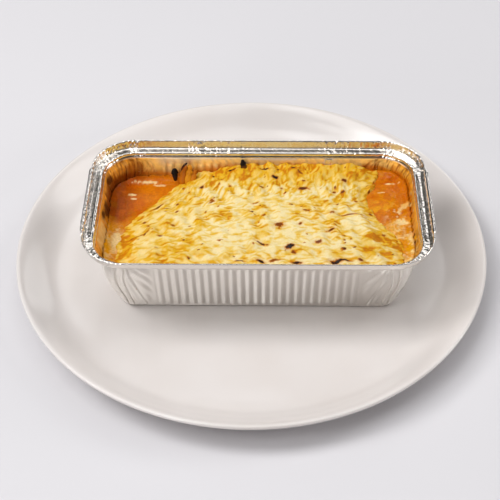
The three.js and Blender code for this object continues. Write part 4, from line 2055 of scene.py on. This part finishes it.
@dataclass
class ScorchedCurls:
    """Curls that stand up against the back wall and at the edges.

    Attributes:
        form: The tray's sizes.
        curls: The curls.
        steps: Rings of vertices along a curl.
        sides: Vertices of a ring.
    """

    form: TrayForm
    curls: tuple[Curl, ...] = (
        Curl(((-8.6, 41, 39), (-9.3, 44.6, 43), (-10.3, 46.8, 47)), 1.7, 0.8, "#A0600C", "#1A110D"),
        Curl(((-48.5, 38, 33), (-47, 42.4, 41), (-45.6, 43.6, 45)), 2.1, 1.1, "#B8680A", "#9A5208"),
        Curl(
            ((-45, 37.5, 34), (-43.8, 42, 41), (-42.8, 43.2, 45.4)),
            2.3, 1.2, "#D08A18", "#C07A12"
        ),
        Curl(
            ((-41.5, 37, 35), (-40.6, 41.5, 40), (-40.2, 42.6, 42)),
            1.7, 1.0, "#C07410", "#B0640C"
        ),
        Curl(
            ((-48.6, 42.6, 41), (-46.8, 43.9, 44.3), (-44.8, 44.1, 46)),
            0.9, 0.7, "#5A2408", "#2A150C"
        ),
        Curl(
            ((-52.2, 39.5, 35), (-52.8, 42.0, 38.5), (-53, 43.2, 42.6)),
            2.0, 1.3, "#2A140C", "#15100F"
        ),
    )
    steps: int = 26
    sides: int = 14

    def skin(self) -> Skin:
        """Carries an oval along each rounded path, with wavy edges and closed tips.

        Returns:
            All the curls in one skin.
        """
        skins = []
        for number, curl in enumerate(self.curls):
            line = rounded_line(curl.path, trim=4.0, steps=10)
            path = spread_along(line, self.steps, turn_worth=1.0)
            share = np.linspace(0, 1, self.steps)
            taper = np.sqrt(np.clip(1 - np.abs(2 * share - 1) ** 4, 0, 1)) + 0.02
            wavy = 1 + 0.25 * lattice_noise(share * 20, share * 0, (2.5, 1.0), 70 + number)
            skin = swept_strand(
                path, curl.half_width * taper * wavy, curl.half_depth * taper, self.sides
            )
            rings = np.repeat(share, self.sides)
            toasted = smooth_step(0.1, 0.7, np.concatenate([rings, [0.0, 1.0]]))
            skin.tints["tint"] = painted(curl.root, (curl.tip, toasted))
            skins.append(skin)
        return joined(skins)

    def build(self) -> Piece:
        """Makes the curls, in the material that the cheese already has."""
        finish = [bpy.data.materials[CHEESE_FINISH.name]]
        return make_piece("scorched_curls", self.skin(), self.form.centre, finish, Solid.CHEESE)


@dataclass(frozen=True)
class SauceTint:
    """Colours of the tomato sauce, the same on the sheet and on the filling round it.

    Attributes:
        orange: Colour of most of it.
        red: A darker red, most of it at the back left end.
        brown: Colour next to the walls, most of it at the back left: painted shade in the gap by
            the foil, and sauce stuck to the foil.
        gold: Colour where the cheese's fat has run into it.
        pale: Colour of cheese melted into it, of a cream smear at the front left, and of the
            painted highlights on its ridges.
        highlights_and_smear: x, y, length and width of pale streaks: painted highlights on the
            ridges, and the cream smear at the front left.
    """

    orange: str = "#C66E04"
    red: str = "#B05004"
    brown: str = "#6E2C04"
    gold: str = "#D89806"
    pale: str = "#E4CC94"
    highlights_and_smear: tuple[tuple[float, float, float, float], ...] = (
        (-70.8, 41.2, 17, 2.2), (-64, 38.6, 9, 1.2), (-79.1, 29.4, 4, 2.4),
        (-78.6, 25.6, 5, 1.4), (82.5, 34.8, 9, 1.4), (77, 26, 7, 1),
        (-85, -13, 7, 17),
    )

    def at(self, x: Array, y: Array, from_wall: Array) -> Array:
        """Colours the sauce.

        Args:
            x: Places along the tray.
            y: Places across it.
            from_wall: Distance from the foil.

        Returns:
            Colours in linear light, one row a place.
        """
        cloud = 0.5 + 0.5 * cloud_noise(x, y, 7.0, 94)
        fine = 0.5 + 0.5 * cloud_noise(x, y, 1.6, 95)
        bent_x, bent_y = x + 7 * (cloud - 0.5), y + 6 * cloud_noise(x, y, 6.0, 97)
        swirl = cloud_noise(bent_x, bent_y, 6.5, 98)
        back_left_share = smooth_step(66, 80, -x) * smooth_step(0, 12, y)
        redder = np.clip(0.8 * back_left_share + 0.5 * smooth_step(0.45, 0.8, 0.6 * cloud + 0.4 * fine), 0, 1)
        # Dark brown next to the walls and at the left end: painted shade in the gap by the foil,
        # with sauce stuck there
        wall_shade_and_stuck = (1 - smooth_step(0.5, 5.5, from_wall + 4 * (cloud - 0.5))) * smooth_step(-6, 10, y)
        wall_shade_and_stuck = np.maximum(wall_shade_and_stuck, smooth_step(74, 92, 9 * swirl - x) * smooth_step(-8, 6, y))
        stirred = 0.25 + 0.75 * smooth_step(55, 66, x)
        golden = 0.75 * stirred * smooth_step(0.05, 0.7, swirl) * (1 - 0.6 * smooth_step(8, 24, y))
        front = 1 - smooth_step(-16, 8, y + 14 * (cloud - 0.5) + 4 * (fine - 0.5))
        milky = front * smooth_step(0.38, 0.68, 0.4 * cloud + 0.6 * fine)
        pale_pieces_and_highlights = smooth_step(0.62, 0.75, 0.45 * cloud + 0.55 * fine) * smooth_step(74, 84, x)
        pale_pieces_and_highlights = np.maximum(pale_pieces_and_highlights, smooth_step(80, 86, x) * smooth_step(0.3, 0.5, swirl))
        pale_pieces_and_highlights = pale_pieces_and_highlights * (1 - smooth_step(4, 20, y))
        # The pale streaks on the ridges are painted highlights; the wide patch at the front left is
        # a cream smear
        for streak_x, streak_y, length, width in self.highlights_and_smear:
            away = np.hypot((x - streak_x) / length, (y - streak_y) / width) * 2
            pale_pieces_and_highlights = np.maximum(pale_pieces_and_highlights, 1 - smooth_step(0.5, 1.2, away + 1.6 * (fine - 0.5)))
        return painted(
            self.orange,
            (self.red, redder),
            (self.brown, 0.75 * wall_shade_and_stuck * (0.12 + 0.88 * back_left_share)),
            (self.red, 0.8 * stirred * smooth_step(0.0, 0.7, -swirl)),
            (self.gold, golden),
            (self.gold, 0.8 * front * (0.55 + 0.45 * (swirl > -0.1))),
            (self.pale, 0.55 * milky),
            (self.pale, 0.8 * pale_pieces_and_highlights),
        )


@dataclass
class PastaSheet:
    """The wavy top sheet, which shows under its sauce at both ends of the tray.

    Attributes:
        form: The tray's sizes.
        bed: The bed whose top it is.
        left: x of its left end.
        right: x of its right end.
        half_width: Half its width.
        corner_radius: Radius of its corners.
        thickness: Its thickness.
        columns: Cells along it.
        rows: Cells across it.
        coarser: Upper cells to a lower one.
        tint: Colours of the sauce on it.
    """

    form: TrayForm
    bed: LasagnaBed
    left: float = -84.8
    right: float = 87.0
    half_width: float = 41.6
    corner_radius: float = 10.0
    thickness: float = 1.6
    columns: int = 300
    rows: int = 144
    coarser: int = 6
    tint: SauceTint = SauceTint()

    def spots(self, columns: int, rows: int) -> tuple[Array, Array, Array]:
        """Spreads a grid over the sheet's rounded outline.

        Args:
            columns: Cells along it.
            rows: Cells across it.

        Returns:
            x and y of the vertices, and their distance from the outline.
        """
        s, t = np.meshgrid(np.linspace(0, 1, columns + 1), np.linspace(-1, 1, rows + 1))
        x = mix(self.left, self.right, s)
        end = np.minimum(x - self.left, self.right - x)
        past = np.maximum(self.corner_radius - end, 0)
        bow = np.sqrt(np.maximum(self.corner_radius**2 - past**2, 0))
        reach = self.half_width - self.corner_radius + bow
        return x, t * reach, np.minimum(end, (1 - np.abs(t)) * reach)

    def skin(self) -> Skin:
        """Lays the sheet on the bed with rounded edges.

        The top is the bed + faint waves of sauce, and falls off at the outline as a quarter
        round of half the thickness.

        Returns:
            The sheet's closed skin with its colours.
        """
        x, y, inside = self.spots(self.columns, self.rows)
        half = self.thickness / 2
        round_off = half - np.sqrt(np.maximum(half**2 - np.maximum(half - inside, 0) ** 2, 0))
        sauce = self.bed.sauce(x, y) * smooth_step(0, 3, inside)
        upper = np.stack([x, y, self.bed.top(x, y) + sauce - round_off], axis=-1)
        x, y, _ = self.spots(self.columns // self.coarser, self.rows // self.coarser)
        lower = np.stack([x, y, self.bed.top(x, y) - self.thickness], axis=-1)
        points, faces = closed_block(upper, lower, self.coarser)
        x, y = points[:, 0], points[:, 1]
        from_wall = self.bed.from_wall(self.form, x, y)
        return Skin(points, faces, {"tint": self.tint.at(x, y, from_wall)})

    def build(self) -> Piece:
        """Makes the sheet."""
        finish = [PASTA_FINISH.build()]
        return make_piece("top_pasta_sheet", self.skin(), self.form.centre, finish, Solid.PASTA)


@dataclass
class Filling:
    """The baked body of pasta, vegetables and sauce, up to the tray's walls.

    Attributes:
        form: The tray's sizes.
        bed: The bed whose body it is.
        sheet: The sheet that lies in it.
        climb: How far the sauce climbs the walls.
        tint: Colours of the sauce.
    """

    form: TrayForm
    bed: LasagnaBed
    sheet: PastaSheet
    climb: float = 2.6
    tint: SauceTint = SauceTint()

    def skin(self) -> Skin:
        """Lofts the body up the walls and closes it over with rings that shrink inwards.

        The top is the bed, + climb · exp(−d / 2) at a distance d from the wall, + the waves
        of the sauce. It laps over the sheet's edge and lies lower under the sheet.

        Returns:
            The filling's closed skin with its colours.
        """
        form = self.form
        stations = Stations.lay(form, side_step=0.8, corner_step=0.8)
        low_z = np.array([0.8, 1.4, 4.0, 14.0, 24.0, 29.5])
        low_inset, low_radius = form.wall(low_z)
        low_inset = low_inset + np.array([2.0, 0.9, 0.9, 0.9, 0.9, 0.9])
        low = stations.ring(low_inset, low_radius - 0.9)
        low = np.concatenate([low, np.broadcast_to(low_z[:, None, None], (*low.shape[:2], 1))], 2)
        away = np.array([0, 0.3, 0.6, 1, 1.5, 2.1, 2.8, 3.6, 4.5, 5.4, 6.3, 7.2, 8.1, 9, 11, 15])
        inset, radius = form.wall(np.full(len(away), self.bed.level))
        inset = inset + form.foil / 2 + form.clearance + np.where(away > 0, 0.75, 0.2)
        flat = stations.ring(inset + away, np.maximum(radius + 0.2 - away, 1.0))
        x, y = flat[..., 0], flat[..., 1]
        climb = self.climb * (1 + 0.5 * cloud_noise(x, y, 7.0, 93)) * np.exp(-away[:, None] / 2.0)
        z = self.bed.top(x, y) + 0.1 + self.bed.sauce(x, y) + climb
        past_end = np.maximum(self.sheet.left - x, x - self.sheet.right)
        beyond = np.maximum(past_end, np.abs(y) - self.sheet.half_width)
        lap = beyond + 3.0 + 2.0 * cloud_noise(x, y, 5.0, 96)
        z = z - 2.6 * (1 - smooth_step(-3.0, 1.5, lap))
        here, _ = form.wall(z[0])
        level, _ = form.wall(self.bed.level)
        push = level - here + stations.ribs(z[0])
        x[0] += push * stations.normal[:, 0]
        y[0] += push * stations.normal[:, 1]
        rings = np.concatenate([low, np.stack([x, y, z], axis=-1)])
        poles = (0, 0, low_z[0]), (0, 0, self.bed.level - 2.4)
        points, faces = capped_rings(rings, *poles)
        x, y = points[:, 0], points[:, 1]
        return Skin(points, faces, {"tint": self.tint.at(x, y, self.bed.from_wall(form, x, y))})

    def build(self) -> Piece:
        """Makes the filling."""
        finish = [SAUCE_FINISH.build()]
        return make_piece("sauce_and_filling", self.skin(), self.form.centre, finish, Solid.FILLING)


# The studio


@dataclass(frozen=True)
class SoftBox:
    """A square soft box that looks at the plate.

    Attributes:
        name: Its name.
        azimuth: Its bearing in degrees, from the right towards the back.
        elevation: Its height over the table in degrees.
        size: Its side in millimetres.
        power: Its power in watts.
    """

    name: str
    azimuth: float
    elevation: float
    size: float
    power: float

    @property
    def direction(self) -> Vector:
        """Gives the direction to it from the plate.

        Returns:
            The direction, as long as 1.
        """
        turn, rise = np.radians([self.azimuth, self.elevation])
        flat = np.cos(rise)
        return Vector((np.cos(turn) * flat, np.sin(turn) * flat, np.sin(rise)))


@dataclass
class Studio:
    """A plain pale floor, soft light from overhead left, and the camera.

    Attributes:
        camera_place: Where the camera is, in millimetres.
        yaw: How far it turns to the left, in degrees.
        pitch: How far it looks down, in degrees.
        roll: How far it leans, in degrees.
        focal_length: Its focal length in millimetres.
        sensor: Width of its sensor in millimetres.
        clip: Nearest and farthest distance that it sees, in millimetres.
        floor_half: Half the side of the paper on the floor.
        boxes: The soft boxes.
        box_distance: How far off they hang.
        room_colour: Colour of the dark room round them.
        room_strength: How bright that room is.
    """

    camera_place: tuple[float, float, float] = (8.75, -552.55, 539.89)
    yaw: float = 0.99
    pitch: float = 43.62
    roll: float = -0.39
    focal_length: float = 87.77
    sensor: float = 36.0
    clip: tuple[float, float] = (10.0, 20000.0)
    floor_half: float = 4000.0
    boxes: tuple[SoftBox, ...] = (
        SoftBox("left_box", 180, 52, 800, 22.4),
        SoftBox("front_left_box", 225, 52, 800, 12.9),
        SoftBox("high_left_box", 180, 74, 800, 8.6),
        SoftBox("top_box", 40, 80, 1400, 10),
        SoftBox("low_front_left_box", 240, 12, 800, 12.5),
        SoftBox("low_right_box", 0, 12, 800, 15),
        SoftBox("right_box", 22, 42, 800, 7.5),
        SoftBox("back_box", 90, 46, 800, 3.2),
        SoftBox("low_back_box", 60, 12, 800, 5),
    )
    box_distance: float = 2200.0
    room_colour: str = "#FFFFFF"
    room_strength: float = 0.04

    def add_floor(self) -> Piece:
        """Lays the paper under the plate.

        Returns:
            The paper, which is part of the stage.
        """
        mesh = bpy.data.meshes.new("floor")
        half = self.floor_half * MM
        corners = [(-half, -half, 0), (half, -half, 0), (half, half, 0), (-half, half, 0)]
        mesh.from_pydata(corners, [], [(0, 1, 2, 3)])
        mesh.materials.append(MattPaper().build())
        floor = bpy.data.objects.new("floor", mesh)
        bpy.context.scene.collection.objects.link(floor)
        return floor

    def add_camera(self) -> Piece:
        """Sets the camera up at the photographed angle.

        Returns:
            The camera.
        """
        yaw, pitch, roll = np.radians([self.yaw, self.pitch, self.roll])
        right = np.array([np.cos(yaw), np.sin(yaw), 0])
        level = np.cos(pitch)
        ahead = np.array([-np.sin(yaw) * level, np.cos(yaw) * level, -np.sin(pitch)])
        up = np.cross(right, ahead)
        leaned_right = np.cos(roll) * right + np.sin(roll) * up
        leaned_up = -np.sin(roll) * right + np.cos(roll) * up
        place = np.array(self.camera_place) * MM
        columns = [leaned_right, leaned_up, -ahead, place]
        turned = Matrix([[*(float(c[row]) for c in columns)] for row in range(3)] + [[0, 0, 0, 1]])
        data = bpy.data.cameras.new("camera")
        data.sensor_width = self.sensor
        data.lens = self.focal_length
        data.clip_start, data.clip_end = (distance * MM for distance in self.clip)
        camera = bpy.data.objects.new("camera", data)
        camera.matrix_world = turned
        bpy.context.scene.collection.objects.link(camera)
        bpy.context.scene.camera = camera
        return camera

    def add_box(self, box: SoftBox) -> None:
        """Hangs a soft box.

        Args:
            box: Its size, power and direction.
        """
        data = bpy.data.lights.new(box.name, "AREA")
        data.shape = "SQUARE"
        data.size = box.size * MM
        data.energy = box.power
        light = bpy.data.objects.new(box.name, data)
        light.location = box.direction * self.box_distance * MM
        light.rotation_euler = box.direction.to_track_quat("Z", "Y").to_euler()
        bpy.context.scene.collection.objects.link(light)

    def add_surroundings(self) -> None:
        """Leaves a faint grey light in the room round the boxes."""
        world = bpy.data.worlds.new("room")
        world.use_nodes = True
        tree = world.node_tree
        tree.nodes.clear()
        background = add_node(
            tree,
            "ShaderNodeBackground",
            {"Color": linear_colour(self.room_colour), "Strength": self.room_strength},
        )
        add_node(tree, "ShaderNodeOutputWorld", {"Surface": background.outputs[0]})
        bpy.context.scene.world = world

    def build(self) -> None:
        """Sets up floor, camera, lights and colour management."""
        self.add_floor()
        self.add_camera()
        self.add_surroundings()
        for box in self.boxes:
            self.add_box(box)
        bpy.context.scene.view_settings.view_transform = "Standard"


def main() -> None:
    """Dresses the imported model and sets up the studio."""
    logging.basicConfig(level=logging.INFO, format="%(name)s: %(message)s", force=True)
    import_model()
    form = TrayForm()
    bed = LasagnaBed()
    sheet = PastaSheet(form, bed)
    cheese = CheeseTopping(form, bed)
    DinnerPlate().build()
    FoilTray(form).build(bed.top)
    Filling(form, bed, sheet).build()
    sheet.build()
    cheese.build()
    ScorchedCurls(form).build()
    Studio().build()
    bpy.context.view_layer.update()


if __name__ == "__main__":
    main()
